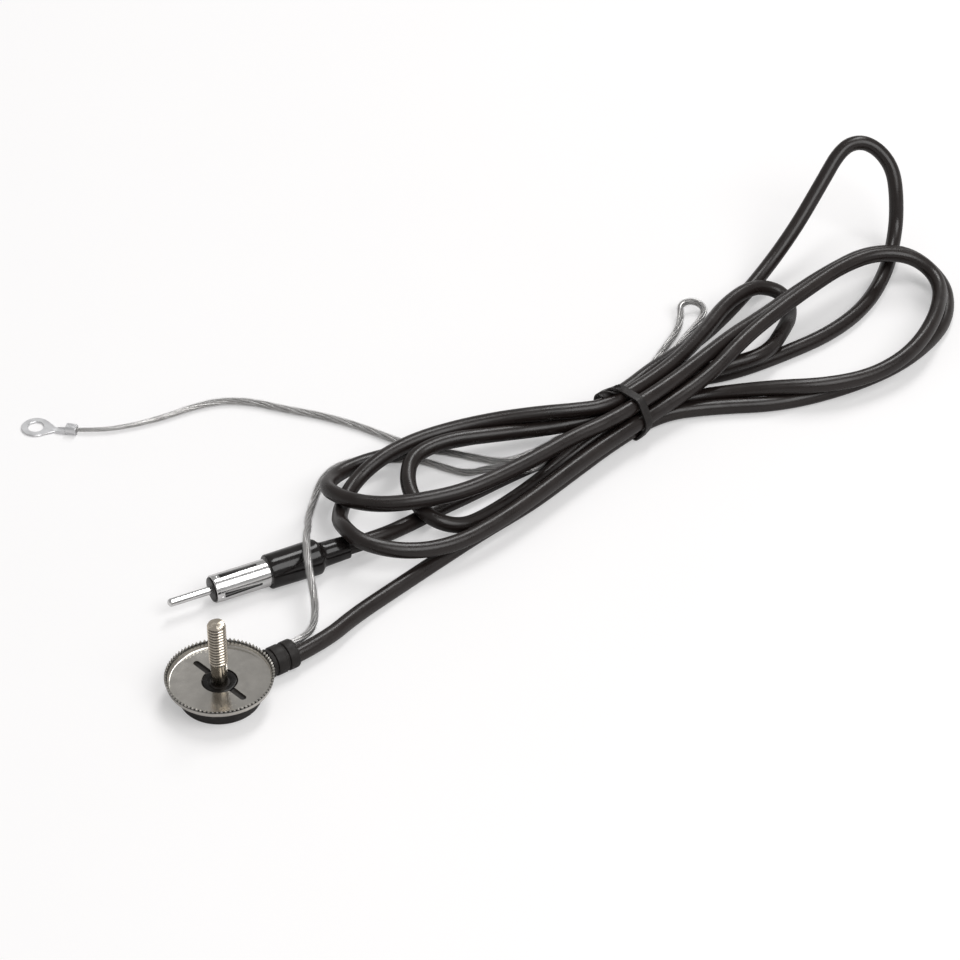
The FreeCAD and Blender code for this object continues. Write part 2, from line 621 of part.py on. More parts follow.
os.makedirs("parts", exist_ok=True)
for node, shape in build().items():
    if not shape.isValid() or shape.Volume <= 0:
        print("not valid:", node)
    shape.exportStep("parts/" + node + ".step")
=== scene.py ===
import math

import bpy
from mathutils import Matrix, Quaternion, Vector


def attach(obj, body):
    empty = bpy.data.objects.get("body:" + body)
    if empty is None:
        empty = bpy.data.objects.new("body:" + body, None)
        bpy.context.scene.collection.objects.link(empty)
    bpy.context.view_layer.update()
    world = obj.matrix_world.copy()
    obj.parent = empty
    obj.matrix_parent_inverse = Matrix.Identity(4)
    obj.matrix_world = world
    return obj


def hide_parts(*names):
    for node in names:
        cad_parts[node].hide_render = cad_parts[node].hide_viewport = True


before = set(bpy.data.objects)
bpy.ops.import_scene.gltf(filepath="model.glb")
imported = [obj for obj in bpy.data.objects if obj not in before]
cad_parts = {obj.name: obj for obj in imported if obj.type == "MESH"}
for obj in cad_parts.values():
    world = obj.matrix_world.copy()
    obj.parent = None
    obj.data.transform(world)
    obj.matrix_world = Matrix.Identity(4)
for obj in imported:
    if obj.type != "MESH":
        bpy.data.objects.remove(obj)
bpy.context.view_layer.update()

MM = 0.001
UP = Vector((0, 0, 1))

# Sizes in millimetres, places in metres and turns in degrees
AXIS_RADIUS = 0.2
BASE_TOP_RADIUS = 15.0
BASE_FOOT_RADIUS = 13.4
BASE_HEIGHT = 6.5
BOSS_RADIUS = 4.9
BOSS_AXIS_Z = 5.0
BOSS_START_X = 9.0
BOSS_END_X = 28.0
BOSS_GROOVE_X = (18.6, 23.2)
BOSS_GROOVE_WIDTH = 1.1
BOSS_GROOVE_DEPTH = 0.55
WASHER_RADIUS = 17.75
WASHER_FLARE = 0.5
WASHER_THICKNESS = 0.8
WASHER_BEND = 1.3
WASHER_GAP = 0.3
RIM_TIP_Z = 9.9
TOOTH_COUNT = 80
TOOTH_HEIGHT = 1.0
WASHER_HOLE_RADIUS = 5.85
SLOT_WIDTH = 2.2
SLOT_REACH = 12.4
SLOT_TURN = 9.0
STUD_RADIUS = 3.0
STUD_ROOT_RADIUS = 2.5
STUD_SHANK_RADIUS = 2.65
STUD_TOP_Z = 31.5
STUD_FOOT_Z = 2.6
STUD_FOOT_RADIUS = 5.77
THREAD_START_Z = 14.6
THREAD_STOP_Z = 30.9
THREAD_PITCH = 1.15
BUSH_RADIUS = 5.6
BUSH_FOOT_Z = 4.4
BUSH_TOP_Z = 7.1
COAX_DIAMETER = 5.5
EARTH_DIAMETER = 3.0
PLUG_TIP = Vector((0.0063, 0.0427, 0.0062))
PLUG_TURN = -8.4
PIN_RADIUS = 1.4
PIN_TAIL_RADIUS = 1.2
PIN_LENGTH = 15.9
PIN_TAIL = 16.0
BARREL_RADIUS = 4.75
BARREL_HELD_RADIUS = 4.5
BARREL_BORE = 4.15
BARREL_LENGTH = 19.7
BARREL_HELD = 5.4
BARREL_SLOTS = 4
BARREL_SLOT_START = 2.6
BARREL_SLOT_LENGTH = 13.4
BARREL_SLOT_WIDTH = 2.1
BARREL_SLOT_TAPER = 0.42
BARREL_DIMPLE_RADIUS = 0.55
INSULATOR_PROUD = 0.5
INSULATOR_NOSE_RADIUS = 4.3
BOOT_RADIUS = 5.9
BOOT_BACK_RADIUS = 6.1
BOOT_NECK_RADIUS = 4.2
BOOT_END_RADIUS = 3.9
BOOT_FRONT_LENGTH = 20.0
BOOT_LENGTH = 29.2
RING_CENTRE = Vector((0.0204, 0.1567, 0))
RING_RADIUS = 5.2
RING_HOLE_RADIUS = 2.75
RING_THICKNESS = 0.8
TONGUE_WIDTH = 2.8
TONGUE_END_WIDTH = 2.6
CRIMP_START = 11.4
CRIMP_LENGTH = 3.8
CRIMP_WALL = 0.5
TIE_CENTRE = Vector((0.189, 0.038, 0))
TIE_TURN = 9.46
TIE_WIDTH = 3.2
TIE_THICKNESS = 0.8
TWIST_START = Vector((-0.0008, 0.0006, 0.0184))
TWIST_WAY = Vector((-0.9, 0.36, -0.2))
TWIST_LENGTH = 7.0
TWIST_TURN = 250
TIE_OUTLINE = [
    (9.65, 0.4), (11.8, 3.84), (12.4, 6.6), (11.86, 9.36), (2.5, 17.5),
    (-8.4, 17.5), (-12.5, 10.16), (-12.5, 7.44), (-9.36, 2.2), (-8.2, 0.4),
]

# Route of the coaxial lead from the boss to the plug, and of the earth lead, in metres
BASE_TAIL = [
    (0.026, -0.0014, 0.0047), (0.0398, -0.0006, 0.0047), (0.0552, 0.0055, 0.0032), (0.0728, 0.0093, 0.0028),
    (0.0929, 0.0132, 0.0028), (0.1149, 0.0173, 0.0028), (0.1368, 0.0201, 0.0028), (0.1583, 0.0256, 0.0028),
    (0.178, 0.03, 0.0036),
]
FRONT_RIGHT_LOOP = [
    (0.202, 0.034, 0.0036), (0.2205, 0.0272, 0.0028), (0.2416, 0.0145, 0.0028), (0.2659, 0.0088, 0.0028),
    (0.2897, 0.0079, 0.0028), (0.3106, 0.013, 0.0028), (0.3252, 0.0213, 0.0028), (0.3361, 0.0357, 0.0042),
    (0.3343, 0.0542, 0.0083), (0.3174, 0.059, 0.012), (0.298, 0.057, 0.0126), (0.2788, 0.0535, 0.0126),
    (0.2588, 0.0485, 0.013), (0.2413, 0.0446, 0.014), (0.2211, 0.0384, 0.0145),
]
LONG_LEFT_LOOP = [
    (0.202, 0.034, 0.014), (0.178, 0.03, 0.014), (0.162, 0.0301, 0.014), (0.146, 0.0281, 0.014),
    (0.13, 0.027, 0.014), (0.114, 0.027, 0.014), (0.099, 0.031, 0.0142), (0.087, 0.0375, 0.0136),
    (0.079, 0.046, 0.0138), (0.0781, 0.0586, 0.011), (0.0865, 0.0668, 0.0068), (0.098, 0.0687, 0.0061),
    (0.1124, 0.0657, 0.0061), (0.1284, 0.0617, 0.0061), (0.1449, 0.0561, 0.006), (0.1617, 0.0513, 0.0063),
    (0.1748, 0.0439, 0.0071),
]
RAISED_RIGHT_LOOP = [
    (0.1995, 0.0485, 0.0071), (0.212, 0.0523, 0.007), (0.225, 0.0559, 0.0056), (0.241, 0.0606, 0.004),
    (0.26, 0.0683, 0.003), (0.281, 0.076, 0.006), (0.3005, 0.0815, 0.0155), (0.3165, 0.0865, 0.027),
    (0.3295, 0.091, 0.036), (0.3368, 0.0887, 0.038), (0.3418, 0.0836, 0.035), (0.3438, 0.0773, 0.029),
    (0.3416, 0.0716, 0.021), (0.3385, 0.067, 0.0088), (0.3245, 0.055, 0.003), (0.304, 0.0425, 0.0028),
    (0.283, 0.037, 0.0028), (0.261, 0.037, 0.0028), (0.239, 0.0387, 0.0028), (0.222, 0.0443, 0.0032),
    (0.211, 0.0453, 0.0062),
]
SHORT_LEFT_LOOP = [
    (0.2005, 0.043, 0.0088), (0.1785, 0.039, 0.0088), (0.1673, 0.0417, 0.0092), (0.1566, 0.0463, 0.0089),
    (0.1409, 0.0498, 0.0115), (0.1246, 0.0548, 0.0132), (0.1116, 0.055, 0.0122), (0.1047, 0.0484, 0.0106),
    (0.1004, 0.0388, 0.0096), (0.1003, 0.0273, 0.008), (0.1084, 0.0218, 0.0044), (0.1196, 0.0229, 0.0029),
    (0.1372, 0.026, 0.0028), (0.157, 0.031, 0.0035),
]
SHORT_RIGHT_LOOP = [
    (0.1775, 0.0329, 0.0088), (0.2015, 0.037, 0.0088), (0.2203, 0.04, 0.009), (0.2346, 0.038, 0.008),
    (0.2511, 0.0344, 0.0088), (0.2667, 0.0448, 0.0064), (0.2772, 0.0535, 0.0029), (0.2821, 0.061, 0.0038),
    (0.2805, 0.0667, 0.0062), (0.2711, 0.0692, 0.0096), (0.256, 0.0655, 0.01), (0.239, 0.0557, 0.011),
    (0.22, 0.046, 0.013),
]
WIDE_LEFT_LOOP = [
    (0.201, 0.04, 0.014), (0.181, 0.037, 0.0142), (0.1713, 0.0406, 0.0146), (0.1595, 0.0467, 0.0146),
    (0.1454, 0.0545, 0.0132), (0.1293, 0.0606, 0.0118), (0.1141, 0.0622, 0.0118), (0.0996, 0.0606, 0.0112),
    (0.0876, 0.0576, 0.0078), (0.0769, 0.0485, 0.0064), (0.0703, 0.036, 0.0136), (0.0704, 0.0248, 0.0138),
    (0.0816, 0.0151, 0.0108), (0.0981, 0.0107, 0.0088), (0.118, 0.0125, 0.0088), (0.138, 0.017, 0.0088),
    (0.158, 0.0224, 0.0088),
]
BACK_RIGHT_LOOP = [
    (0.1785, 0.027, 0.0088), (0.2025, 0.031, 0.0088), (0.223, 0.0331, 0.0116), (0.2436, 0.0392, 0.0158),
    (0.2612, 0.0438, 0.0168), (0.2814, 0.049, 0.0166), (0.3003, 0.0528, 0.0166), (0.3163, 0.052, 0.0164),
    (0.3287, 0.0443, 0.014), (0.331, 0.0321, 0.0085), (0.3141, 0.0155, 0.0105), (0.2948, 0.0053, 0.0094),
    (0.2759, 0.0037, 0.0076), (0.2572, 0.0077, 0.0086), (0.2406, 0.0194, 0.0075), (0.222, 0.0343, 0.0028),
]
PLUG_TAIL = [
    (0.201, 0.04, 0.0036), (0.177, 0.0359, 0.0036), (0.158, 0.0369, 0.0028), (0.14, 0.037, 0.0028),
    (0.122, 0.036, 0.0028), (0.109, 0.0357, 0.0028), (0.0965, 0.0343, 0.0032), (0.0815, 0.0316, 0.0058),
    (0.067, 0.0337, 0.0062),
]
EARTH_ROUTE = [
    (0.026, 0.0027, 0.0062), (0.0335, 0.0027, 0.0062), (0.039, 0.0052, 0.0068), (0.0435, 0.011, 0.0078),
    (0.0467, 0.0172, 0.0099), (0.0495, 0.0238, 0.0123), (0.0531, 0.031, 0.014), (0.0577, 0.0382, 0.0143),
    (0.0628, 0.045, 0.0104), (0.0674, 0.053, 0.0057), (0.073, 0.06, 0.0028), (0.079, 0.0665, 0.0017),
    (0.0845, 0.072, 0.0016), (0.0915, 0.076, 0.0016), (0.1, 0.076, 0.0016), (0.108, 0.0715, 0.0016),
    (0.115, 0.0665, 0.0016), (0.121, 0.061, 0.0016), (0.125, 0.053, 0.0016), (0.129, 0.047, 0.0016),
    (0.1335, 0.0425, 0.0044), (0.137, 0.037, 0.0078), (0.14, 0.031, 0.0084), (0.1455, 0.0286, 0.0088),
    (0.1515, 0.032, 0.0089), (0.157, 0.0373, 0.008), (0.164, 0.0411, 0.0056), (0.17, 0.0413, 0.0024),
    (0.1765, 0.0406, 0.0024), (0.188, 0.0427, 0.0026), (0.2, 0.0447, 0.0023), (0.213, 0.0522, 0.0016),
    (0.226, 0.0598, 0.0016), (0.239, 0.0667, 0.0016), (0.25, 0.0715, 0.0016), (0.2555, 0.076, 0.0024),
    (0.2535, 0.0805, 0.004), (0.2475, 0.0811, 0.0045), (0.2447, 0.0765, 0.003), (0.2398, 0.0719, 0.0016),
    (0.2306, 0.0666, 0.0016), (0.2194, 0.0603, 0.0016), (0.209, 0.0539, 0.002), (0.1995, 0.0481, 0.0024),
    (0.188, 0.0462, 0.0026), (0.176, 0.0439, 0.0023), (0.17, 0.0446, 0.0019), (0.163, 0.044, 0.0017),
    (0.152, 0.0434, 0.0016), (0.1425, 0.045, 0.0016), (0.136, 0.053, 0.0016), (0.1305, 0.0605, 0.0016),
    (0.124, 0.067, 0.0016), (0.119, 0.077, 0.0016), (0.113, 0.091, 0.0016), (0.1055, 0.1035, 0.0016),
    (0.097, 0.114, 0.0016), (0.09, 0.124, 0.0016), (0.0815, 0.131, 0.0016), (0.071, 0.1337, 0.0016),
    (0.0595, 0.1345, 0.0016), (0.048, 0.1368, 0.0016), (0.0374, 0.1409, 0.0016), (0.0284, 0.1477, 0.0016),
]
COAX_ROUTE = (
    BASE_TAIL + FRONT_RIGHT_LOOP + LONG_LEFT_LOOP + RAISED_RIGHT_LOOP + SHORT_LEFT_LOOP + SHORT_RIGHT_LOOP
    + WIDE_LEFT_LOOP + BACK_RIGHT_LOOP + PLUG_TAIL
)
STRAND_COUNT = 6
STRAND_RADIUS = 0.40
STRAND_REACH = 0.80
STRAND_PITCH = 40.0
STRAND_GATHER = 80
STRAND_END_SHARE = 0.35
SLEEVE_THINNING = (0.5, 0.58, 0.68, 0.8, 0.92)

# Floor, lights and camera: places and sizes in metres, powers in watts
FLOOR_SIZE = 24
FLOOR_LIFT = 0.345
WORLD_NEAR_FLOOR = 0.82
WORLD_OVERHEAD = 0.34
LIGHT_TARGET = (0.15, 0.05, 0)
KEY_PLACE = (1.03, 0.67, 1.9)
KEY_SIZE = (0.5, 1.6)
KEY_POWER = 19
FILL_PLACE = (0.4, -1.3, 1.6)
FILL_SIZE = (1.5, 1.2)
FILL_POWER = 21
CAMERA_PLACE = Vector((-0.4034, -0.7209, 0.750))
CAMERA_TARGET = Vector((0.1317, 0.0433, 0))
CAMERA_LENS = 130
CAMERA_SENSOR = 36

# Sizes and ways that follow from those above
RIM_ROOT_RADIUS = WASHER_RADIUS - WASHER_FLARE
WASHER_FLOOR_Z = BASE_HEIGHT + WASHER_THICKNESS
BOOT_START = PIN_LENGTH + BARREL_LENGTH
BOOT_STOP = BOOT_START + BOOT_LENGTH
PLUG_WAY = Vector((math.cos(math.radians(PLUG_TURN)), math.sin(math.radians(PLUG_TURN)), 0))
LEAD_END = Vector(EARTH_ROUTE[-1])
RING_WAY = Vector((LEAD_END.x - RING_CENTRE.x, LEAD_END.y - RING_CENTRE.y, 0)).normalized()


# Selecting and applying

def drop_selection():
    if bpy.context.mode != "OBJECT":
        bpy.ops.object.mode_set(mode="OBJECT")
    bpy.ops.object.select_all(action="DESELECT")


def pick(*pieces):
    drop_selection()
    for piece in pieces:
        piece.select_set(True)
    bpy.context.view_layer.objects.active = pieces[0]


def use_modifier(piece, kind, **settings):
    pick(piece)
    modifier = piece.modifiers.new(kind.title(), kind)
    for name, value in settings.items():
        setattr(modifier, name, value)
    bpy.ops.object.modifier_apply(modifier=modifier.name)


def soften(piece, width, segments=2):
    """Bevel the sharp edges of a piece."""
    use_modifier(piece, "BEVEL", width=width * MM, segments=segments, limit_method="ANGLE")


def combine(piece, other, operation):
    """Cut one closed piece by another, or fuse the two, and drop the other."""
    use_modifier(piece, "BOOLEAN", object=other, operation=operation, solver="EXACT")
    bpy.data.objects.remove(other)


def put(piece, origin, way=UP, turn=0.0):
    """Stand a piece that was shaped about Z at its place and apply that to its mesh."""
    lean = UP.rotation_difference(Vector(way)) @ Quaternion(UP, math.radians(turn))
    piece.matrix_world = Matrix.Translation(origin) @ lean.to_matrix().to_4x4()
    pick(piece)
    bpy.ops.object.transform_apply(location=True, rotation=True, scale=True)


def smooth(piece, angle=32):
    pick(piece)
    bpy.ops.object.shade_smooth_by_angle(angle=math.radians(angle))


# Shapes that several pieces start from

def turned(name, profile, sides, hollow=False):
    """Turned shape about Z: a circle extruded and scaled from one (radius, height) to the next."""
    drop_selection()
    bpy.ops.mesh.primitive_circle_add(vertices=sides, radius=profile[0][0] * MM)
    piece = bpy.context.active_object
    piece.name = name
    bpy.ops.object.mode_set(mode="EDIT")
    bpy.ops.mesh.select_all(action="SELECT")
    bpy.ops.transform.translate(value=(0, 0, profile[0][1] * MM))
    for (radius, height), (next_radius, next_height) in zip(profile, profile[1:]):
        rise = (0, 0, (next_height - height) * MM)
        bpy.ops.mesh.extrude_edges_move(TRANSFORM_OT_translate={"value": rise})
        grow = next_radius / radius
        bpy.ops.transform.resize(value=(grow, grow, 1), center_override=(0, 0, next_height * MM))
    bpy.ops.mesh.select_all(action="DESELECT")
    bpy.ops.mesh.select_non_manifold()
    if hollow:
        bpy.ops.mesh.bridge_edge_loops()
    else:
        bpy.ops.mesh.fill_holes(sides=0)
    bpy.ops.mesh.select_all(action="SELECT")
    bpy.ops.mesh.normals_make_consistent(inside=False)
    bpy.ops.object.mode_set(mode="OBJECT")
    return piece


def arc(centre, radius, start, stop, steps):
    """Points of a quarter round or less in a profile, the angles in degrees from the radius outwards."""
    points = []
    for index in range(steps + 1):
        angle = math.radians(start + (stop - start) * index / steps)
        points.append((centre[0] + radius * math.cos(angle), centre[1] + radius * math.sin(angle)))
    return points


def slab(name, low, high):
    """Box between two corners in millimetres."""
    drop_selection()
    middle = [(a + b) / 2 * MM for a, b in zip(low, high)]
    size = [(b - a) * MM for a, b in zip(low, high)]
    bpy.ops.mesh.primitive_cube_add(size=1, location=middle, scale=size)
    piece = bpy.context.active_object
    piece.name = name
    bpy.ops.object.transform_apply(location=True, rotation=True, scale=True)
    return piece


def long_hole(name, radius, reach, low, high):
    """Upright cutter with two round ends, along Y."""
    piece = turned(name, [(radius, low), (radius, high)], 26)
    for vertex in piece.data.vertices:
        vertex.co.y += math.copysign((reach - radius) * MM, vertex.co.y)
    return piece


# Surface effects shared by the materials

def new_group(name, inputs, output):
    group = bpy.data.node_groups.new(name, "ShaderNodeTree")
    for label, kind in inputs:
        group.interface.new_socket(label, in_out="INPUT", socket_type=kind)
    group.interface.new_socket(output, in_out="OUTPUT", socket_type="NodeSocketFloat")
    return group, group.nodes.new("NodeGroupInput"), group.nodes.new("NodeGroupOutput")


def mottle_group():
    """Slow uneven patches between two values."""
    inputs = [("Vector", "NodeSocketVector"), ("Scale", "NodeSocketFloat")]
    inputs += [("Low", "NodeSocketFloat"), ("High", "NodeSocketFloat")]
    group, start, stop = new_group("mottle", inputs, "Value")
    noise = group.nodes.new("ShaderNodeTexNoise")
    noise.inputs["Detail"].default_value = 5
    noise.inputs["Roughness"].default_value = 0.6
    spread = group.nodes.new("ShaderNodeMapRange")
    spread.inputs["From Min"].default_value = 0.32
    spread.inputs["From Max"].default_value = 0.68
    group.links.new(start.outputs["Vector"], noise.inputs["Vector"])
    group.links.new(start.outputs["Scale"], noise.inputs["Scale"])
    group.links.new(noise.outputs["Fac"], spread.inputs["Value"])
    group.links.new(start.outputs["Low"], spread.inputs["To Min"])
    group.links.new(start.outputs["High"], spread.inputs["To Max"])
    group.links.new(spread.outputs["Result"], stop.inputs["Value"])
    return group


def grain_group():
    """Fine height of a moulded, plated or drawn surface."""
    inputs = [("Vector", "NodeSocketVector"), ("Scale", "NodeSocketFloat"), ("Pits", "NodeSocketFloat")]
    group, start, stop = new_group("grain", inputs, "Height")
    noise = group.nodes.new("ShaderNodeTexNoise")
    noise.inputs["Detail"].default_value = 3
    cells = group.nodes.new("ShaderNodeTexVoronoi")
    pits = group.nodes.new("ShaderNodeMath")
    pits.operation = "MULTIPLY"
    total = group.nodes.new("ShaderNodeMath")
    total.operation = "ADD"
    group.links.new(start.outputs["Vector"], noise.inputs["Vector"])
    group.links.new(start.outputs["Vector"], cells.inputs["Vector"])
    group.links.new(start.outputs["Scale"], noise.inputs["Scale"])
    group.links.new(start.outputs["Scale"], cells.inputs["Scale"])
    group.links.new(cells.outputs["Distance"], pits.inputs[0])
    group.links.new(start.outputs["Pits"], pits.inputs[1])
    group.links.new(noise.outputs["Fac"], total.inputs[0])
    group.links.new(pits.outputs["Value"], total.inputs[1])
    group.links.new(total.outputs["Value"], stop.inputs["Height"])
    return group


def scratch_group():
    """Thin stretched scratches as a mask."""
    inputs = [("Vector", "NodeSocketVector"), ("Scale", "NodeSocketFloat"), ("Amount", "NodeSocketFloat")]
    group, start, stop = new_group("scratches", inputs, "Mask")
    masks = []
    for turn in (20, 75, 140):
        lay = group.nodes.new("ShaderNodeMapping")
        lay.inputs["Rotation"].default_value = (0, 0, math.radians(turn))
        lay.inputs["Scale"].default_value = (1, 26, 8)
        noise = group.nodes.new("ShaderNodeTexNoise")
        noise.inputs["Detail"].default_value = 2
        edge = group.nodes.new("ShaderNodeMapRange")
        edge.inputs["From Min"].default_value = 0.66
        edge.inputs["From Max"].default_value = 0.74
        group.links.new(start.outputs["Vector"], lay.inputs["Vector"])
        group.links.new(lay.outputs["Vector"], noise.inputs["Vector"])
        group.links.new(start.outputs["Scale"], noise.inputs["Scale"])
        group.links.new(noise.outputs["Fac"], edge.inputs["Value"])
        masks.append(edge.outputs["Result"])
    for mask in masks[1:]:
        most = group.nodes.new("ShaderNodeMath")
        most.operation = "MAXIMUM"
        group.links.new(masks[0], most.inputs[0])
        group.links.new(mask, most.inputs[1])
        masks[0] = most.outputs["Value"]
    amount = group.nodes.new("ShaderNodeMath")
    amount.operation = "MULTIPLY"
    group.links.new(masks[0], amount.inputs[0])
    group.links.new(start.outputs["Amount"], amount.inputs[1])
    group.links.new(amount.outputs["Value"], stop.inputs["Mask"])
    return group


def dust_group():
    """Pale dust that settles on faces turned up, in patches."""
    inputs = [("Vector", "NodeSocketVector"), ("Scale", "NodeSocketFloat"), ("Amount", "NodeSocketFloat")]
    group, start, stop = new_group("dust", inputs, "Mask")
    shape = group.nodes.new("ShaderNodeNewGeometry")
    parts = group.nodes.new("ShaderNodeSeparateXYZ")
    upward = group.nodes.new("ShaderNodeMapRange")
    upward.inputs["From Min"].default_value = 0.1
    noise = group.nodes.new("ShaderNodeTexNoise")
    noise.inputs["Detail"].default_value = 6
    patch = group.nodes.new("ShaderNodeMapRange")
    patch.inputs["From Min"].default_value = 0.42
    patch.inputs["From Max"].default_value = 0.75
    both = group.nodes.new("ShaderNodeMath")
    both.operation = "MULTIPLY"
    amount = group.nodes.new("ShaderNodeMath")
    amount.operation = "MULTIPLY"
    group.links.new(shape.outputs["Normal"], parts.inputs["Vector"])
    group.links.new(parts.outputs["Z"], upward.inputs["Value"])
    group.links.new(start.outputs["Vector"], noise.inputs["Vector"])
    group.links.new(start.outputs["Scale"], noise.inputs["Scale"])
    group.links.new(noise.outputs["Fac"], patch.inputs["Value"])
    group.links.new(upward.outputs["Result"], both.inputs[0])
    group.links.new(patch.outputs["Result"], both.inputs[1])
    group.links.new(both.outputs["Value"], amount.inputs[0])
    group.links.new(start.outputs["Amount"], amount.inputs[1])
    group.links.new(amount.outputs["Value"], stop.inputs["Mask"])
    return group


MOTTLE = mottle_group()
GRAIN = grain_group()
SCRATCHES = scratch_group()
DUST = dust_group()


# Materials

class Finish:
    """One material: its tree, its shader and the coordinates that its patterns follow."""

    def __init__(self, name):
        self.material = bpy.data.materials.new(name)
        self.material.use_nodes = True
        self.tree = self.material.node_tree
        self.shader = self.tree.nodes["Principled BSDF"]
        self.place = self.tree.nodes.new("ShaderNodeTexCoord").outputs["Object"]

    def effect(self, group, **values):
        node = self.tree.nodes.new("ShaderNodeGroup")
        node.node_tree = group
        self.tree.links.new(self.place, node.inputs["Vector"])
        for label, value in values.items():
            node.inputs[label].default_value = value
        return node.outputs[0]

    def blend(self, mask, low, high):
        """Colour between two colours or sockets by a mask."""
        mix = self.tree.nodes.new("ShaderNodeMix")
        mix.data_type = "RGBA"
        self.tree.links.new(mask, mix.inputs["Factor"])
        for socket, value in ((mix.inputs[6], low), (mix.inputs[7], high)):
            if isinstance(value, tuple):
                socket.default_value = (*value, 1)
            else:
                self.tree.links.new(value, socket)
        return mix.outputs[2]

    def sum(self, first, second):
        add = self.tree.nodes.new("ShaderNodeMath")
        add.operation = "ADD"
        add.use_clamp = True
        self.tree.links.new(first, add.inputs[0])
        self.tree.links.new(second, add.inputs[1])
        return add.outputs["Value"]

    def ramp(self, socket, low, high):
        """Mask that goes from 0 at the low value to 1 at the high value."""
        span = self.tree.nodes.new("ShaderNodeMapRange")
        span.inputs["From Min"].default_value = low
        span.inputs["From Max"].default_value = high
        self.tree.links.new(socket, span.inputs["Value"])
        return span.outputs["Result"]

    def height(self):
        parts = self.tree.nodes.new("ShaderNodeSeparateXYZ")
        self.tree.links.new(self.place, parts.inputs["Vector"])
        return parts.outputs["Z"]

    def feed(self, label, socket):
        self.tree.links.new(socket, self.shader.inputs[label])

    def fix(self, **values):
        for label, value in values.items():
            self.shader.inputs[label.replace("_", " ")].default_value = value

    def bump(self, height, strength, distance):
        bump = self.tree.nodes.new("ShaderNodeBump")
        bump.inputs["Strength"].default_value = strength
        bump.inputs["Distance"].default_value = distance
        self.tree.links.new(height, bump.inputs["Height"])
        self.feed("Normal", bump.outputs["Normal"])


def lead_sheath():
    """Satin black sheath with a faint drawn lay and a little dust."""
    finish = Finish("lead_sheath")
    patches = finish.effect(MOTTLE, Scale=70, Low=0, High=1)
    body = finish.blend(patches, (0.0115, 0.0080, 0.0072), (0.0175, 0.0126, 0.0112))
    dust = finish.effect(DUST, Scale=160, Amount=0.06)
    finish.feed("Base Color", finish.blend(dust, body, (0.16, 0.145, 0.135)))
    rough = finish.effect(MOTTLE, Scale=240, Low=0.25, High=0.33)
    finish.feed("Roughness", finish.sum(rough, dust))
    finish.bump(finish.effect(GRAIN, Scale=1800, Pits=0.3), 0.12, 0.0002)
    finish.fix(Specular_IOR_Level=0.45)
    return finish.material


def black_moulding():
    """Matt moulded plastic with a fine grain."""
    finish = Finish("black_moulding")
    patches = finish.effect(MOTTLE, Scale=260, Low=0, High=1)
    body = finish.blend(patches, (0.012, 0.0100, 0.0092), (0.019, 0.0162, 0.0148))
    dust = finish.effect(DUST, Scale=420, Amount=0.10)
    finish.feed("Base Color", finish.blend(dust, body, (0.15, 0.14, 0.13)))
    rough = finish.effect(MOTTLE, Scale=500, Low=0.42, High=0.56)
    finish.feed("Roughness", finish.sum(rough, dust))
    finish.bump(finish.effect(GRAIN, Scale=3600, Pits=0.6), 0.25, 0.0002)
    finish.fix(Specular_IOR_Level=0.3)
    return finish.material


def polished_black(name):
    """Polished black plastic of the collar and of the plug's insulator."""
    finish = Finish(name)
    patches = finish.effect(MOTTLE, Scale=420, Low=0, High=1)
    finish.feed("Base Color", finish.blend(patches, (0.006, 0.0055, 0.005), (0.012, 0.0105, 0.0095)))
    finish.feed("Roughness", finish.effect(MOTTLE, Scale=600, Low=0.16, High=0.3))
    finish.bump(finish.effect(GRAIN, Scale=2600, Pits=0.3), 0.1, 0.0002)
    finish.fix(Specular_IOR_Level=0.3)
    return finish.material


def boot_moulding():
    """Glossy black boot, slightly wavy from its mould."""
    finish = Finish("boot_moulding")
    patches = finish.effect(MOTTLE, Scale=160, Low=0, High=1)
    body = finish.blend(patches, (0.007, 0.006, 0.0057), (0.013, 0.011, 0.0105))
    marks = finish.effect(SCRATCHES, Scale=90, Amount=0.12)
    finish.feed("Base Color", finish.blend(marks, body, (0.05, 0.045, 0.042)))
    rough = finish.effect(MOTTLE, Scale=300, Low=0.12, High=0.2)
    finish.feed("Roughness", finish.sum(rough, marks))
    finish.bump(finish.effect(GRAIN, Scale=330, Pits=0.0), 0.10, 0.0004)
    finish.fix(Coat_Roughness=0.06, Specular_IOR_Level=0.3)
    finish.feed("Coat Weight", finish.effect(MOTTLE, Scale=220, Low=0.1, High=0.25))
    return finish.material


def thread_painted_shade(finish):
    """Mask of painted shade on the stud: 0 in the roots of its thread, which are painted dark as shade, 1
    on its crests and its end.
    """
    flat = finish.tree.nodes.new("ShaderNodeVectorMath")
    flat.operation = "MULTIPLY"
    flat.inputs[1].default_value = (1, 1, 0)
    finish.tree.links.new(finish.place, flat.inputs[0])
    reach = finish.tree.nodes.new("ShaderNodeVectorMath")
    reach.operation = "LENGTH"
    finish.tree.links.new(flat.outputs["Vector"], reach.inputs[0])
    crest = finish.ramp(reach.outputs["Value"], (STUD_ROOT_RADIUS + 0.06) * MM, (STUD_RADIUS - 0.16) * MM)
    end = finish.ramp(finish.height(), (STUD_TOP_Z - 0.9) * MM, (STUD_TOP_Z - 0.5) * MM)
    return finish.sum(crest, end)


def tooth_painted_shade(finish):
    """Mask of painted shade on the washer: 0 between the roots of its teeth, which are painted dark as
    shade, 1 elsewhere.
    """
    rise = finish.tree.nodes.new("ShaderNodeMath")
    rise.operation = "SUBTRACT"
    rise.inputs[1].default_value = (RIM_TIP_Z - TOOTH_HEIGHT * 0.85) * MM
    finish.tree.links.new(finish.height(), rise.inputs[0])
    away = finish.tree.nodes.new("ShaderNodeMath")
    away.operation = "ABSOLUTE"
    finish.tree.links.new(rise.outputs["Value"], away.inputs[0])
    return finish.ramp(away.outputs["Value"], 0.12 * MM, 0.5 * MM)


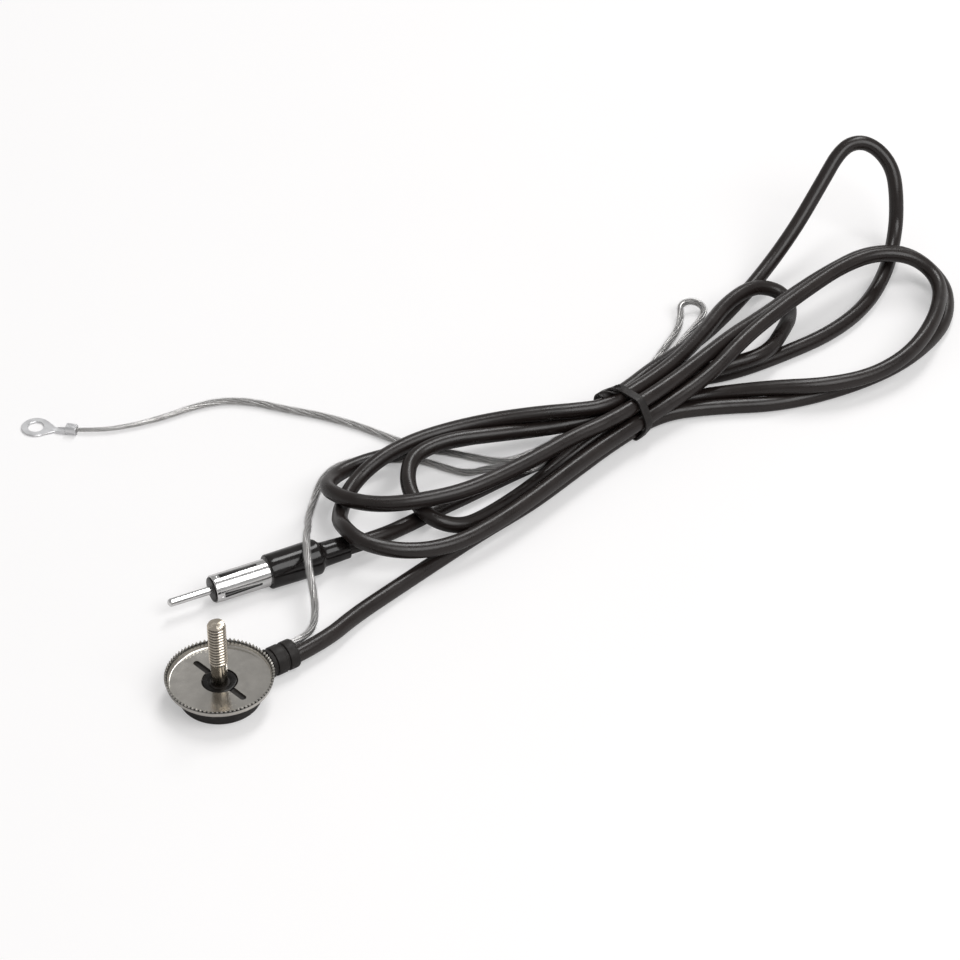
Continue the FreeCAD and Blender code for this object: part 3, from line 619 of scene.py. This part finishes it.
def plated(name, dark, light, rough, scratch, wave, shade=None):
    """Bright plating: uneven polish, hairline scratches, a faint ripple and painted shade in recesses."""
    finish = Finish(name)
    patches = finish.effect(MOTTLE, Scale=210, Low=0, High=1)
    body = finish.blend(patches, dark, light)
    marks = finish.effect(SCRATCHES, Scale=150, Amount=scratch)
    scratched = tuple(0.7 * value for value in dark)
    painted_recess_shade = tuple(0.14 * value for value in dark)
    colour = finish.blend(marks, body, scratched)
    # Painted shade: where the mask is 0, the plating is painted dark as the shade in its recesses.
    if shade is not None:
        colour = finish.blend(shade(finish), painted_recess_shade, colour)
    finish.feed("Base Color", colour)
    polish = finish.effect(MOTTLE, Scale=330, Low=rough[0], High=rough[1])
    finish.feed("Roughness", finish.sum(polish, marks))
    finish.bump(finish.effect(GRAIN, Scale=900, Pits=0.2), wave, 0.0001)
    finish.fix(Metallic=1.0)
    return finish.material


def clear_sleeve():
    """Clear soft sleeve: mostly see-through, a little milky in patches."""
    finish = Finish("clear_sleeve")
    patches = finish.effect(MOTTLE, Scale=300, Low=0, High=1)
    finish.feed("Base Color", finish.blend(patches, (0.55, 0.55, 0.55), (0.70, 0.69, 0.68)))
    finish.feed("Roughness", finish.effect(MOTTLE, Scale=500, Low=0.14, High=0.24))
    finish.feed("Alpha", finish.effect(MOTTLE, Scale=260, Low=0.10, High=0.20))
    finish.bump(finish.effect(GRAIN, Scale=700, Pits=0.1), 0.1, 0.0002)
    return finish.material


def tie_strip():
    """Black strip of soft plastic over a wire, a little dusty at its edges."""
    finish = Finish("tie_strip")
    patches = finish.effect(MOTTLE, Scale=420, Low=0, High=1)
    body = finish.blend(patches, (0.012, 0.0105, 0.0100), (0.022, 0.019, 0.018))
    dust = finish.effect(DUST, Scale=700, Amount=0.12)
    finish.feed("Base Color", finish.blend(dust, body, (0.13, 0.12, 0.115)))
    finish.feed("Roughness", finish.effect(MOTTLE, Scale=600, Low=0.36, High=0.5))
    finish.bump(finish.effect(GRAIN, Scale=1500, Pits=0.4), 0.2, 0.0002)
    finish.fix(Specular_IOR_Level=0.3)
    return finish.material


def floor_white():
    """Plain white floor that stays white to the eye and keeps the shadow."""
    finish = Finish("floor_white")
    patches = finish.effect(MOTTLE, Scale=3, Low=0, High=1)
    finish.feed("Base Color", finish.blend(patches, (0.66, 0.65, 0.65), (0.675, 0.665, 0.665)))
    finish.fix(Roughness=0.9, Specular_IOR_Level=0.1)
    path = finish.tree.nodes.new("ShaderNodeLightPath")
    lift = finish.tree.nodes.new("ShaderNodeMath")
    lift.operation = "MULTIPLY"
    lift.inputs[1].default_value = FLOOR_LIFT
    seen = finish.sum(path.outputs["Is Camera Ray"], path.outputs["Is Transmission Ray"])
    finish.tree.links.new(seen, lift.inputs[0])
    finish.fix(Emission_Color=(1, 1, 1, 1))
    finish.feed("Emission Strength", lift.outputs["Value"])
    return finish.material


SHEATH = lead_sheath()
MOULDING = black_moulding()
BUSH = polished_black("bush_moulding")
BOOT = boot_moulding()
# Washer plate with painted shade between the roots of its teeth.
WASHER_PLATE = plated(
    "washer_plate", (0.64, 0.615, 0.57), (0.73, 0.70, 0.65), (0.15, 0.22), 0.05, 0.04, tooth_painted_shade,
)
# Stud steel with painted shade in the roots of its thread.
STUD_STEEL = plated(
    "stud_steel", (0.66, 0.59, 0.49), (0.78, 0.70, 0.60), (0.18, 0.28), 0.1, 0.05, thread_painted_shade,
)
PLUG_PLATE = plated("plug_plate", (0.78, 0.775, 0.77), (0.86, 0.855, 0.85), (0.13, 0.19), 0.05, 0.03)
BRASS = plated("contact_brass", (0.55, 0.40, 0.17), (0.68, 0.50, 0.23), (0.22, 0.36), 0.15, 0.05)
STRANDS = plated("tinned_strands", (0.42, 0.41, 0.40), (0.62, 0.61, 0.60), (0.34, 0.46), 0.1, 0.1)
TERMINAL = plated("tinned_terminal", (0.80, 0.80, 0.81), (0.88, 0.88, 0.89), (0.36, 0.50), 0.10, 0.08)
INSULATOR = polished_black("plug_insulator")
SLEEVE = clear_sleeve()
STRIP = tie_strip()


def settle(piece, material, slot, *nodes):
    """Give a finished piece its material and its body, and hide the nodes that it stands for. The slot
    argument is not used.
    """
    if material is not None:
        piece.data.materials.clear()
        piece.data.materials.append(material)
    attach(piece, "root")
    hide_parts(*nodes)
    return piece


# Base

def cable_boss():
    """Boss with rounded grooves and a rounded end, cut flat under the washer."""
    floor = BOSS_RADIUS - BOSS_GROOVE_DEPTH
    soft = 0.22
    draft = 0.1
    end_round = 0.8
    profile = [(AXIS_RADIUS, BOSS_START_X), (BOSS_RADIUS, BOSS_START_X)]
    for start in BOSS_GROOVE_X:
        stop = start + BOSS_GROOVE_WIDTH
        profile += arc((BOSS_RADIUS - soft, start - soft), soft, 0, 90, 3)
        profile += [(floor, start + draft), (floor, stop - draft)]
        profile += arc((BOSS_RADIUS - soft, stop + soft), soft, -90, 0, 3)
    profile += arc((BOSS_RADIUS - end_round, BOSS_END_X - end_round), end_round, 0, 90, 5)
    profile.append((AXIS_RADIUS, BOSS_END_X))
    boss = turned("boss", profile, 72)
    put(boss, (0, 0, BOSS_AXIS_Z * MM), (1, 0, 0))
    reach = WASHER_RADIUS + WASHER_GAP
    above = slab("above", (0, -20, BASE_HEIGHT), (reach, 20, RIM_TIP_Z + 2))
    combine(boss, above, "DIFFERENCE")
    return boss


def base_moulding():
    """Round foot with a rounded edge and lip, and the cable boss on its side."""
    foot_round = 0.9
    lip_round = 0.3
    lip_band = 1.2
    edge = arc((BASE_FOOT_RADIUS - foot_round, foot_round), foot_round, -90, -10, 5)
    lip = arc((BASE_TOP_RADIUS - lip_round, BASE_HEIGHT - lip_round), lip_round, 0, 90, 3)
    profile = [(AXIS_RADIUS, 0), *edge, (BASE_TOP_RADIUS, BASE_HEIGHT - lip_band)]
    profile += [*lip, (AXIS_RADIUS, BASE_HEIGHT)]
    base = turned("base_moulding_black", profile, 128)
    combine(base, cable_boss(), "UNION")
    smooth(base)
    return settle(base, MOULDING, "black_moulding", "base_moulding")


def cup_washer():
    """Pressed cup with a slotted floor and a flared rim of pointed teeth."""
    bend_z = BASE_HEIGHT + WASHER_BEND
    bend_radius = RIM_ROOT_RADIUS - WASHER_BEND
    root_z = RIM_TIP_Z - TOOTH_HEIGHT
    flare = WASHER_FLARE * (root_z - bend_z) / (RIM_TIP_Z - bend_z)
    wall = WASHER_THICKNESS
    soft = 0.12
    profile = [(WASHER_HOLE_RADIUS, BASE_HEIGHT + soft), (WASHER_HOLE_RADIUS + soft, BASE_HEIGHT)]
    profile += arc((bend_radius, bend_z), WASHER_BEND, -90, 0, 8)
    profile += [(RIM_ROOT_RADIUS + flare, root_z), (WASHER_RADIUS, RIM_TIP_Z)]
    profile += [(WASHER_RADIUS - 0.55, RIM_TIP_Z), (RIM_ROOT_RADIUS + flare - wall, root_z)]
    profile += arc((bend_radius, bend_z), WASHER_BEND - wall, 0, -90, 6)
    profile += [(WASHER_HOLE_RADIUS + soft, WASHER_FLOOR_Z), (WASHER_HOLE_RADIUS, WASHER_FLOOR_Z - soft)]
    washer = turned("cup_washer_plate", profile, TOOTH_COUNT * 4, hollow=True)
    heights = (0.04, 0.55, 1.0, 0.45)
    for vertex in washer.data.vertices:
        if vertex.co.z > (RIM_TIP_Z - 0.01) * MM:
            place = math.atan2(vertex.co.y, vertex.co.x) / (2 * math.pi) * TOOTH_COUNT * 4
            height = heights[round(place) % 4]
            lean = 1 - (1 - height) * 0.011
            vertex.co = (vertex.co.x * lean, vertex.co.y * lean, (root_z + TOOTH_HEIGHT * height) * MM)
    slot = long_hole("slot", SLOT_WIDTH / 2, SLOT_REACH, BASE_HEIGHT - 1, RIM_TIP_Z + 1)
    put(slot, (0, 0, 0), UP, SLOT_TURN)
    combine(washer, slot, "DIFFERENCE")
    smooth(washer, 30)
    return settle(washer, WASHER_PLATE, "washer_plate", "cup_washer")


def stud_bush():
    """Collar around the stud, rounded outside and dished inside."""
    bore = STUD_SHANK_RADIUS + 0.05
    edge = 0.5
    profile = [(bore, BUSH_FOOT_Z), (BUSH_RADIUS, BUSH_FOOT_Z)]
    profile += arc((BUSH_RADIUS - edge, BUSH_TOP_Z - edge), edge, 0, 90, 5)
    profile += [(4.1, BUSH_TOP_Z), (3.7, BUSH_TOP_Z - 0.25)]
    profile += [(3.3, BUSH_TOP_Z - 0.6), (bore, BUSH_TOP_Z - 0.75)]
    bush = turned("stud_bush_black", profile, 72, hollow=True)
    smooth(bush)
    return settle(bush, BUSH, "black_moulding", "stud_bush")


def thread_radius(height, angle):
    """Radius of the thread at a height, run out at its foot and chamfered at its end."""
    root_flat = 0.12
    flank = 0.76
    run_out = 1.1
    chamfer = 0.35
    phase = (height / THREAD_PITCH - angle / (2 * math.pi)) % 1
    ridge = min(max((abs(phase - 0.5) * 2 - root_flat) / flank, 0), 1)
    radius = STUD_ROOT_RADIUS + (STUD_RADIUS - STUD_ROOT_RADIUS) * ridge
    start = min(max((height - THREAD_START_Z) / run_out, 0), 1)
    radius = STUD_SHANK_RADIUS + (radius - STUD_SHANK_RADIUS) * start
    return min(radius, STUD_RADIUS - max(height - THREAD_STOP_Z + chamfer, 0) * 0.8)


def threaded_stud():
    """Stud with a six-sided foot, a plain shank, a running thread and a roughly cut end."""
    rings = 8
    steps = round((THREAD_STOP_Z - THREAD_START_Z) / THREAD_PITCH * rings)
    buried = BUSH_FOOT_Z - 0.4
    profile = [(AXIS_RADIUS, buried), (STUD_SHANK_RADIUS, buried)]
    for index in range(steps + 1):
        profile.append((STUD_SHANK_RADIUS, THREAD_START_Z + index * THREAD_PITCH / rings))
    profile += [(2.55, STUD_TOP_Z - 0.35), (1.7, STUD_TOP_Z - 0.22)]
    profile += [(0.9, STUD_TOP_Z - 0.17), (AXIS_RADIUS, STUD_TOP_Z - 0.16)]
    stud = turned("threaded_stud_steel", profile, 48)
    for vertex in stud.data.vertices:
        x, y, z = (value / MM for value in vertex.co)
        angle = math.atan2(y, x)
        if THREAD_START_Z < z < THREAD_STOP_Z + 0.01:
            scale = thread_radius(z, angle) / math.hypot(x, y)
            vertex.co = (x * scale * MM, y * scale * MM, z * MM)
        elif z > THREAD_STOP_Z:
            rough = 0.07 * math.sin(3 * angle + 0.8) + 0.05 * math.sin(7 * angle + x * 4)
            vertex.co.z += (0.06 * (x + y) / STUD_RADIUS + rough * min(math.hypot(x, y), 1.5) / 1.5) * MM
    foot = turned("foot", [(STUD_FOOT_RADIUS, STUD_FOOT_Z), (STUD_FOOT_RADIUS, BUSH_FOOT_Z)], 6)
    combine(stud, foot, "UNION")
    smooth(stud, 40)
    return settle(stud, STUD_STEEL, "stud_steel", "threaded_stud")


# Plug

def plug_pin():
    """Round-nosed pin with a thinner tail inside the insulator."""
    stop = PIN_LENGTH + PIN_TAIL
    neck = PIN_LENGTH - INSULATOR_PROUD - 0.6
    tip = 0.15
    profile = [(tip, 0), (0.56, 0.08), (0.95, 0.3), (1.24, 0.62), (1.37, 0.95), (PIN_RADIUS, 1.3)]
    profile += [(PIN_RADIUS, neck), (PIN_TAIL_RADIUS, neck + 0.1), (PIN_TAIL_RADIUS, stop), (tip, stop)]
    pin = turned("plug_pin_bright", profile, 48)
    put(pin, PLUG_TIP, PLUG_WAY)
    smooth(pin)
    return settle(pin, PLUG_PLATE, "plug_plate", "plug_pin")


def plug_insulator():
    """Dark core that holds the pin and fills the barrel to the ends of its slots."""
    bore = PIN_TAIL_RADIUS + 0.02
    start = PIN_LENGTH - INSULATOR_PROUD
    stop = PIN_LENGTH + BARREL_SLOT_START + BARREL_SLOT_LENGTH + 0.2
    nose = INSULATOR_NOSE_RADIUS
    edge = 0.3
    body = BARREL_BORE - 0.05
    profile = [(bore, start)] + arc((nose - edge, start + edge), edge, -90, 0, 3)
    profile += [(nose, PIN_LENGTH), (body, PIN_LENGTH), (body, stop), (bore, stop)]
    insulator = turned("plug_insulator_dark", profile, 48, hollow=True)
    put(insulator, PLUG_TIP, PLUG_WAY)
    smooth(insulator)
    return settle(insulator, INSULATOR, "plug_insulator", "plug_insulator")


def barrel_slot(turn):
    """Cutter for one slot: wide at the front, narrow at the back."""
    start = PIN_LENGTH + BARREL_SLOT_START
    stop = start + BARREL_SLOT_LENGTH
    half = BARREL_SLOT_WIDTH / 2
    slot = slab("slot", (-half, BARREL_BORE - 1, start), (half, BARREL_RADIUS + 1, stop))
    for vertex in slot.data.vertices:
        if vertex.co.z > (start + 1) * MM:
            vertex.co.x *= BARREL_SLOT_TAPER
    soften(slot, 0.25, 3)
    put(slot, (0, 0, 0), UP, turn)
    return slot


def barrel_dimple(turn):
    """Cutter for the round dimple between the front lip and a slot."""
    drop_selection()
    bpy.ops.mesh.primitive_uv_sphere_add(segments=24, ring_count=12, radius=BARREL_DIMPLE_RADIUS * MM)
    dimple = bpy.context.active_object
    heading = Quaternion(UP, math.radians(turn)) @ Vector((0, 1, 0))
    reach = BARREL_RADIUS + 0.22
    height = PIN_LENGTH + BARREL_SLOT_START - 0.75
    put(dimple, heading * reach * MM + UP * height * MM)
    return dimple


def plug_barrel():
    """Bright sleeve with a rolled front, four tapering slots and a dimple before each."""
    stop = BOOT_START + BARREL_HELD
    neck = BOOT_START - 0.6
    front = PIN_LENGTH
    profile = [(BARREL_BORE, front + 0.1), (BARREL_BORE + 0.1, front)]
    profile += arc((BARREL_RADIUS - 0.35, front + 0.35), 0.35, -90, 0, 5)
    profile += [(BARREL_RADIUS, front + 1.15), (BARREL_RADIUS - 0.1, front + 1.25)]
    profile += [(BARREL_RADIUS - 0.1, front + 1.4), (BARREL_RADIUS, front + 1.5), (BARREL_RADIUS, neck)]
    profile += [(BARREL_HELD_RADIUS, neck + 0.1), (BARREL_HELD_RADIUS, stop), (BARREL_BORE, stop)]
    barrel = turned("plug_barrel_bright", profile, 96, hollow=True)
    for index in range(BARREL_SLOTS):
        turn = PLUG_TURN + 360 / BARREL_SLOTS * index
        combine(barrel, barrel_slot(turn), "DIFFERENCE")
        combine(barrel, barrel_dimple(turn), "DIFFERENCE")
    put(barrel, PLUG_TIP, PLUG_WAY)
    smooth(barrel)
    return settle(barrel, PLUG_PLATE, "plug_plate", "plug_barrel")


def plug_boot():
    """Fat front, rounded shoulder and a thinner tail that ends in a step around the lead."""
    shoulder = BOOT_START + BOOT_FRONT_LENGTH
    held = BOOT_START + BARREL_HELD
    bore = COAX_DIAMETER / 2 + 0.05
    profile = [(BARREL_HELD_RADIUS + 0.03, held), (BARREL_HELD_RADIUS + 0.03, BOOT_START)]
    profile += arc((BOOT_RADIUS - 0.55, BOOT_START + 0.55), 0.55, -90, -10, 5)
    profile += [(BOOT_RADIUS, BOOT_START + 2), (BOOT_BACK_RADIUS, shoulder - 4.2)]
    profile += arc((BOOT_BACK_RADIUS - 1.4, shoulder - 2.6), 1.4, 0, 62, 6)
    profile += [(BOOT_NECK_RADIUS + 0.25, shoulder - 0.4), (BOOT_NECK_RADIUS + 0.05, shoulder + 0.3)]
    profile += [(BOOT_NECK_RADIUS, shoulder + 1)]
    profile += arc((BOOT_END_RADIUS - 0.35, BOOT_STOP - 0.35), 0.35, 0, 90, 4)
    profile += [(bore, BOOT_STOP), (bore, held)]
    boot = turned("plug_boot_black", profile, 72, hollow=True)
    put(boot, PLUG_TIP, PLUG_WAY)
    smooth(boot)
    return settle(boot, BOOT, "boot_moulding", "plug_boot")


# Earth ring

def terminal_tongue():
    """Web that narrows from the ring, with two raised edges on the way to the crimp."""
    reach = RING_RADIUS * 0.8
    web_stop = 7.0
    strip_start = 6.4
    edge_start = 7.6
    edge_half = 0.28
    edge_foot = 0.2
    edge_top = 1.5
    web = slab("tongue", (-reach, RING_HOLE_RADIUS + 0.3, 0), (reach, web_stop, RING_THICKNESS))
    for vertex in web.data.vertices:
        if vertex.co.y > RING_RADIUS * MM:
            vertex.co.x = math.copysign(TONGUE_WIDTH / 2 * MM, vertex.co.x)
    soften(web, 0.2)
    half = TONGUE_END_WIDTH / 2
    strip = slab("strip", (-half, strip_start, 0), (half, CRIMP_START + 0.6, RING_THICKNESS))
    soften(strip, 0.2)
    combine(web, strip, "UNION")
    for side in (-1, 1):
        low = (side * half - edge_half, edge_start, edge_foot)
        high = (side * half + edge_half, CRIMP_START + 0.5, edge_top)
        edge = slab("edge", low, high)
        for vertex in edge.data.vertices:
            if vertex.co.y < CRIMP_START * MM and vertex.co.z > RING_THICKNESS * MM:
                vertex.co.z = (RING_THICKNESS + 0.05) * MM
        soften(edge, 0.18)
        combine(web, edge, "UNION")
    return web


def terminal_crimp():
    """Sleeve around the lead, its two wings folded in so that they meet in a crease along the top."""
    outer = EARTH_DIAMETER / 2 + CRIMP_WALL
    grip = 0.45
    crease = 0.55
    inner = EARTH_DIAMETER / 2 - grip
    profile = [(inner, 0), (outer - 0.15, 0), (outer, 0.2), (outer, CRIMP_LENGTH - 0.2)]
    profile += [(outer - 0.15, CRIMP_LENGTH), (inner, CRIMP_LENGTH)]
    crimp = turned("crimp", profile, 64, hollow=True)
    for vertex in crimp.data.vertices:
        across = abs(vertex.co.x) / (outer * MM)
        if vertex.co.y < 0 and across < 0.5:
            vertex.co.y += crease * math.cos(across * math.pi) ** 2 * MM
    put(crimp, (0, CRIMP_START * MM, outer * MM), (0, 1, 0))
    return crimp


def ring_terminal():
    """Stamped ring, a narrowing tongue pressed into a channel, and a crimp around the lead."""
    edge = 0.25
    top = RING_THICKNESS
    profile = [(RING_HOLE_RADIUS, edge), (RING_HOLE_RADIUS + edge, 0)]
    profile += [(RING_RADIUS - edge, 0), (RING_RADIUS, edge), (RING_RADIUS, top - edge)]
    profile += [(RING_RADIUS - edge, top), (RING_HOLE_RADIUS + edge, top)]
    profile += [(RING_HOLE_RADIUS, top - edge)]
    ring = turned("ring_terminal_tinned", profile, 72, hollow=True)
    combine(ring, terminal_tongue(), "UNION")
    combine(ring, terminal_crimp(), "UNION")
    heading = math.degrees(math.atan2(RING_WAY.y, RING_WAY.x)) - 90
    put(ring, RING_CENTRE, UP, heading)
    smooth(ring)
    return settle(ring, TERMINAL, "tinned_terminal", "ring_terminal")


# Tie

def tie_band():
    """Flat strip around the bundle, rounded where it turns."""
    turn_round = 1.1
    strips = 4
    drop_selection()
    bpy.ops.mesh.primitive_circle_add(vertices=len(TIE_OUTLINE), radius=1)
    band = bpy.context.active_object
    band.name = "twist_tie_strip"
    for vertex, (across, height) in zip(band.data.vertices, TIE_OUTLINE):
        vertex.co = (-TIE_WIDTH / 2 * MM, across * MM, height * MM)
    bpy.ops.object.mode_set(mode="EDIT")
    bpy.ops.mesh.select_all(action="SELECT")
    bpy.ops.mesh.bevel(offset=turn_round * MM, segments=4, affect="VERTICES")
    bpy.ops.mesh.select_all(action="SELECT")
    for _ in range(strips):
        bpy.ops.mesh.extrude_edges_move(TRANSFORM_OT_translate={"value": (TIE_WIDTH / strips * MM, 0, 0)})
    bpy.ops.mesh.select_all(action="SELECT")
    bpy.ops.mesh.normals_make_consistent(inside=False)
    bpy.ops.object.mode_set(mode="OBJECT")
    use_modifier(band, "SOLIDIFY", thickness=TIE_THICKNESS * MM, offset=0)
    soften(band, 0.2)
    return band


def tie_twist():
    """Two strip ends twisted around each other."""
    half_width = 1.3
    half_thickness = 0.4
    apart = 0.45
    uneven = 0.8
    twist = math.radians(TWIST_TURN)
    ends = []
    for side in (-1, 1):
        low = (-half_width, side * apart - half_thickness, 0)
        high = (half_width, side * apart + half_thickness, TWIST_LENGTH + side * uneven)
        strip = slab("strip_end", low, high)
        bpy.ops.object.mode_set(mode="EDIT")
        bpy.ops.mesh.select_all(action="SELECT")
        bpy.ops.mesh.subdivide(number_cuts=14)
        bpy.ops.object.mode_set(mode="OBJECT")
        use_modifier(strip, "SIMPLE_DEFORM", deform_method="TWIST", deform_axis="Z", angle=twist)
        ends.append(strip)
    pick(*ends)
    bpy.ops.object.join()
    put(ends[0], TWIST_START, TWIST_WAY)
    return ends[0]


def twist_tie():
    """Band and twisted ends as one piece."""
    band = tie_band()
    twist = tie_twist()
    pick(band, twist)
    bpy.ops.object.join()
    put(band, TIE_CENTRE, UP, TIE_TURN)
    smooth(band, 40)
    return settle(band, STRIP, "tie_strip", "twist_tie")


# Leads

def route_curve(name, route, radius, bevel, thinning=()):
    """Smooth lead along its route's points, thinned at its last points."""
    curve = bpy.data.curves.new(name, "CURVE")
    curve.dimensions = "3D"
    spline = curve.splines.new("NURBS")
    spline.points.add(len(route) - 1)
    for point, place in zip(spline.points, route):
        point.co = (*place, 1)
    for point, share in zip(reversed(spline.points), thinning):
        point.radius = share
    spline.order_u = 3
    spline.use_endpoint_u = True
    curve.resolution_u = 10
    spline.resolution_u = 10
    curve.bevel_depth = radius * MM
    curve.bevel_resolution = bevel
    curve.use_fill_caps = radius > 0
    piece = bpy.data.objects.new(name, curve)
    bpy.context.scene.collection.objects.link(piece)
    return piece


def route_line(route):
    """Points along the smooth line of a route."""
    guide = route_curve("guide", route, 0, 0)
    bpy.context.view_layer.update()
    mesh = bpy.data.meshes.new_from_object(guide)
    points = [vertex.co.copy() for vertex in mesh.vertices]
    bpy.data.meshes.remove(mesh)
    bpy.data.objects.remove(guide)
    return points


def strand_lines(points):
    """Lines of the strands that are twisted along a line of points and drawn together at its end."""
    side = (points[1] - points[0]).normalized().orthogonal().normalized()
    lines = [[] for _ in range(STRAND_COUNT)]
    run = 0.0
    for index, point in enumerate(points):
        way = (points[min(index + 1, len(points) - 1)] - points[max(index - 1, 0)]).normalized()
        side = (side - way * side.dot(way)).normalized()
        run += (point - points[max(index - 1, 0)]).length
        for number, line in enumerate(lines):
            angle = 2 * math.pi * (number / STRAND_COUNT + run / (STRAND_PITCH * MM))
            reach = STRAND_REACH * min(1, STRAND_END_SHARE + (len(points) - 1 - index) / STRAND_GATHER)
            line.append(point + Quaternion(way, angle) @ side * reach * MM)
    return lines


def strands(points):
    """Twisted tinned strands as round wires."""
    curve = bpy.data.curves.new("strands", "CURVE")
    curve.dimensions = "3D"
    for line in strand_lines(points):
        spline = curve.splines.new("POLY")
        spline.points.add(len(line) - 1)
        for point, place in zip(spline.points, line):
            point.co = (*place, 1)
    curve.bevel_depth = STRAND_RADIUS * MM
    curve.bevel_resolution = 1
    curve.use_fill_caps = True
    piece = bpy.data.objects.new("strands", curve)
    bpy.context.scene.collection.objects.link(piece)
    pick(piece)
    bpy.ops.object.convert(target="MESH")
    return bpy.context.active_object


def coax_lead(plug_pieces):
    """Black lead from the boss through the hank to the plug."""
    lead = route_curve("coax_lead", COAX_ROUTE, COAX_DIAMETER / 2, 6)
    settle(lead, SHEATH, "lead_sheath", "coax_base_tail", "coax_hank", "coax_plug_tail")


def earth_lead(ring):
    """Clear sleeve over twisted strands, as one piece with two materials."""
    sleeve = route_curve("earth_lead_clear", EARTH_ROUTE, EARTH_DIAMETER / 2, 4, SLEEVE_THINNING)
    pick(sleeve)
    bpy.ops.object.convert(target="MESH")
    sleeve = bpy.context.active_object
    sleeve.data.materials.append(SLEEVE)
    points = route_line(EARTH_ROUTE)
    core = strands(points)
    core.data.materials.append(STRANDS)
    pick(sleeve, core)
    bpy.ops.object.join()
    smooth(sleeve, 60)
    settle(sleeve, None, "clear_sleeve", "earth_lead")


def inner_contacts():
    """Brass on the contacts and wires inside the mouldings."""
    for name in ("live_tag", "earth_tag", "coax_core_end", "plug_core_wire"):
        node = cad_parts[name]
        node.data.materials.clear()
        node.data.materials.append(BRASS)


# Floor, light and camera

def floor():
    drop_selection()
    bpy.ops.mesh.primitive_plane_add(size=FLOOR_SIZE, location=(0, 0, 0))
    plane = bpy.context.active_object
    plane.name = "floor"
    plane.data.materials.append(floor_white())


def studio_world():
    """Pale room: white near the floor, darker overhead."""
    world = bpy.data.worlds.new("studio")
    world.use_nodes = True
    bpy.context.scene.world = world
    tree = world.node_tree
    place = tree.nodes.new("ShaderNodeTexCoord")
    parts = tree.nodes.new("ShaderNodeSeparateXYZ")
    height = tree.nodes.new("ShaderNodeMapRange")
    height.inputs["From Min"].default_value = 0.02
    height.inputs["From Max"].default_value = 0.25
    height.inputs["To Min"].default_value = WORLD_NEAR_FLOOR
    height.inputs["To Max"].default_value = WORLD_OVERHEAD
    back = tree.nodes["Background"]
    tree.links.new(place.outputs["Generated"], parts.inputs["Vector"])
    tree.links.new(parts.outputs["Z"], height.inputs["Value"])
    tree.links.new(height.outputs["Result"], back.inputs["Strength"])
    back.inputs["Color"].default_value = (1, 0.995, 0.99, 1)


def soft_box(name, place, size, power):
    """Large soft light that points at the middle of the object."""
    drop_selection()
    bpy.ops.object.light_add(type="AREA", location=place)
    light = bpy.context.active_object
    light.name = name
    light.data.shape = "RECTANGLE"
    light.data.size, light.data.size_y = size
    light.data.energy = power
    light.rotation_mode = "QUATERNION"
    light.rotation_quaternion = (Vector(LIGHT_TARGET) - Vector(place)).to_track_quat("-Z", "Y")


def camera():
    """Camera at the photograph's place."""
    drop_selection()
    bpy.ops.object.camera_add(location=CAMERA_PLACE)
    eye = bpy.context.active_object
    eye.rotation_mode = "QUATERNION"
    eye.rotation_quaternion = (CAMERA_TARGET - CAMERA_PLACE).to_track_quat("-Z", "Y")
    eye.data.lens = CAMERA_LENS
    eye.data.sensor_width = CAMERA_SENSOR
    eye.data.clip_start = 0.05
    bpy.context.scene.camera = eye


def stage():
    floor()
    studio_world()
    soft_box("key", KEY_PLACE, KEY_SIZE, KEY_POWER)
    soft_box("fill", FILL_PLACE, FILL_SIZE, FILL_POWER)
    camera()
    bpy.context.scene.view_settings.view_transform = "Standard"


base_moulding()
cup_washer()
stud_bush()
threaded_stud()
plug = [plug_pin(), plug_insulator(), plug_barrel(), plug_boot()]
coax_lead(plug + [twist_tie()])
earth_lead(ring_terminal())
inner_contacts()
stage()
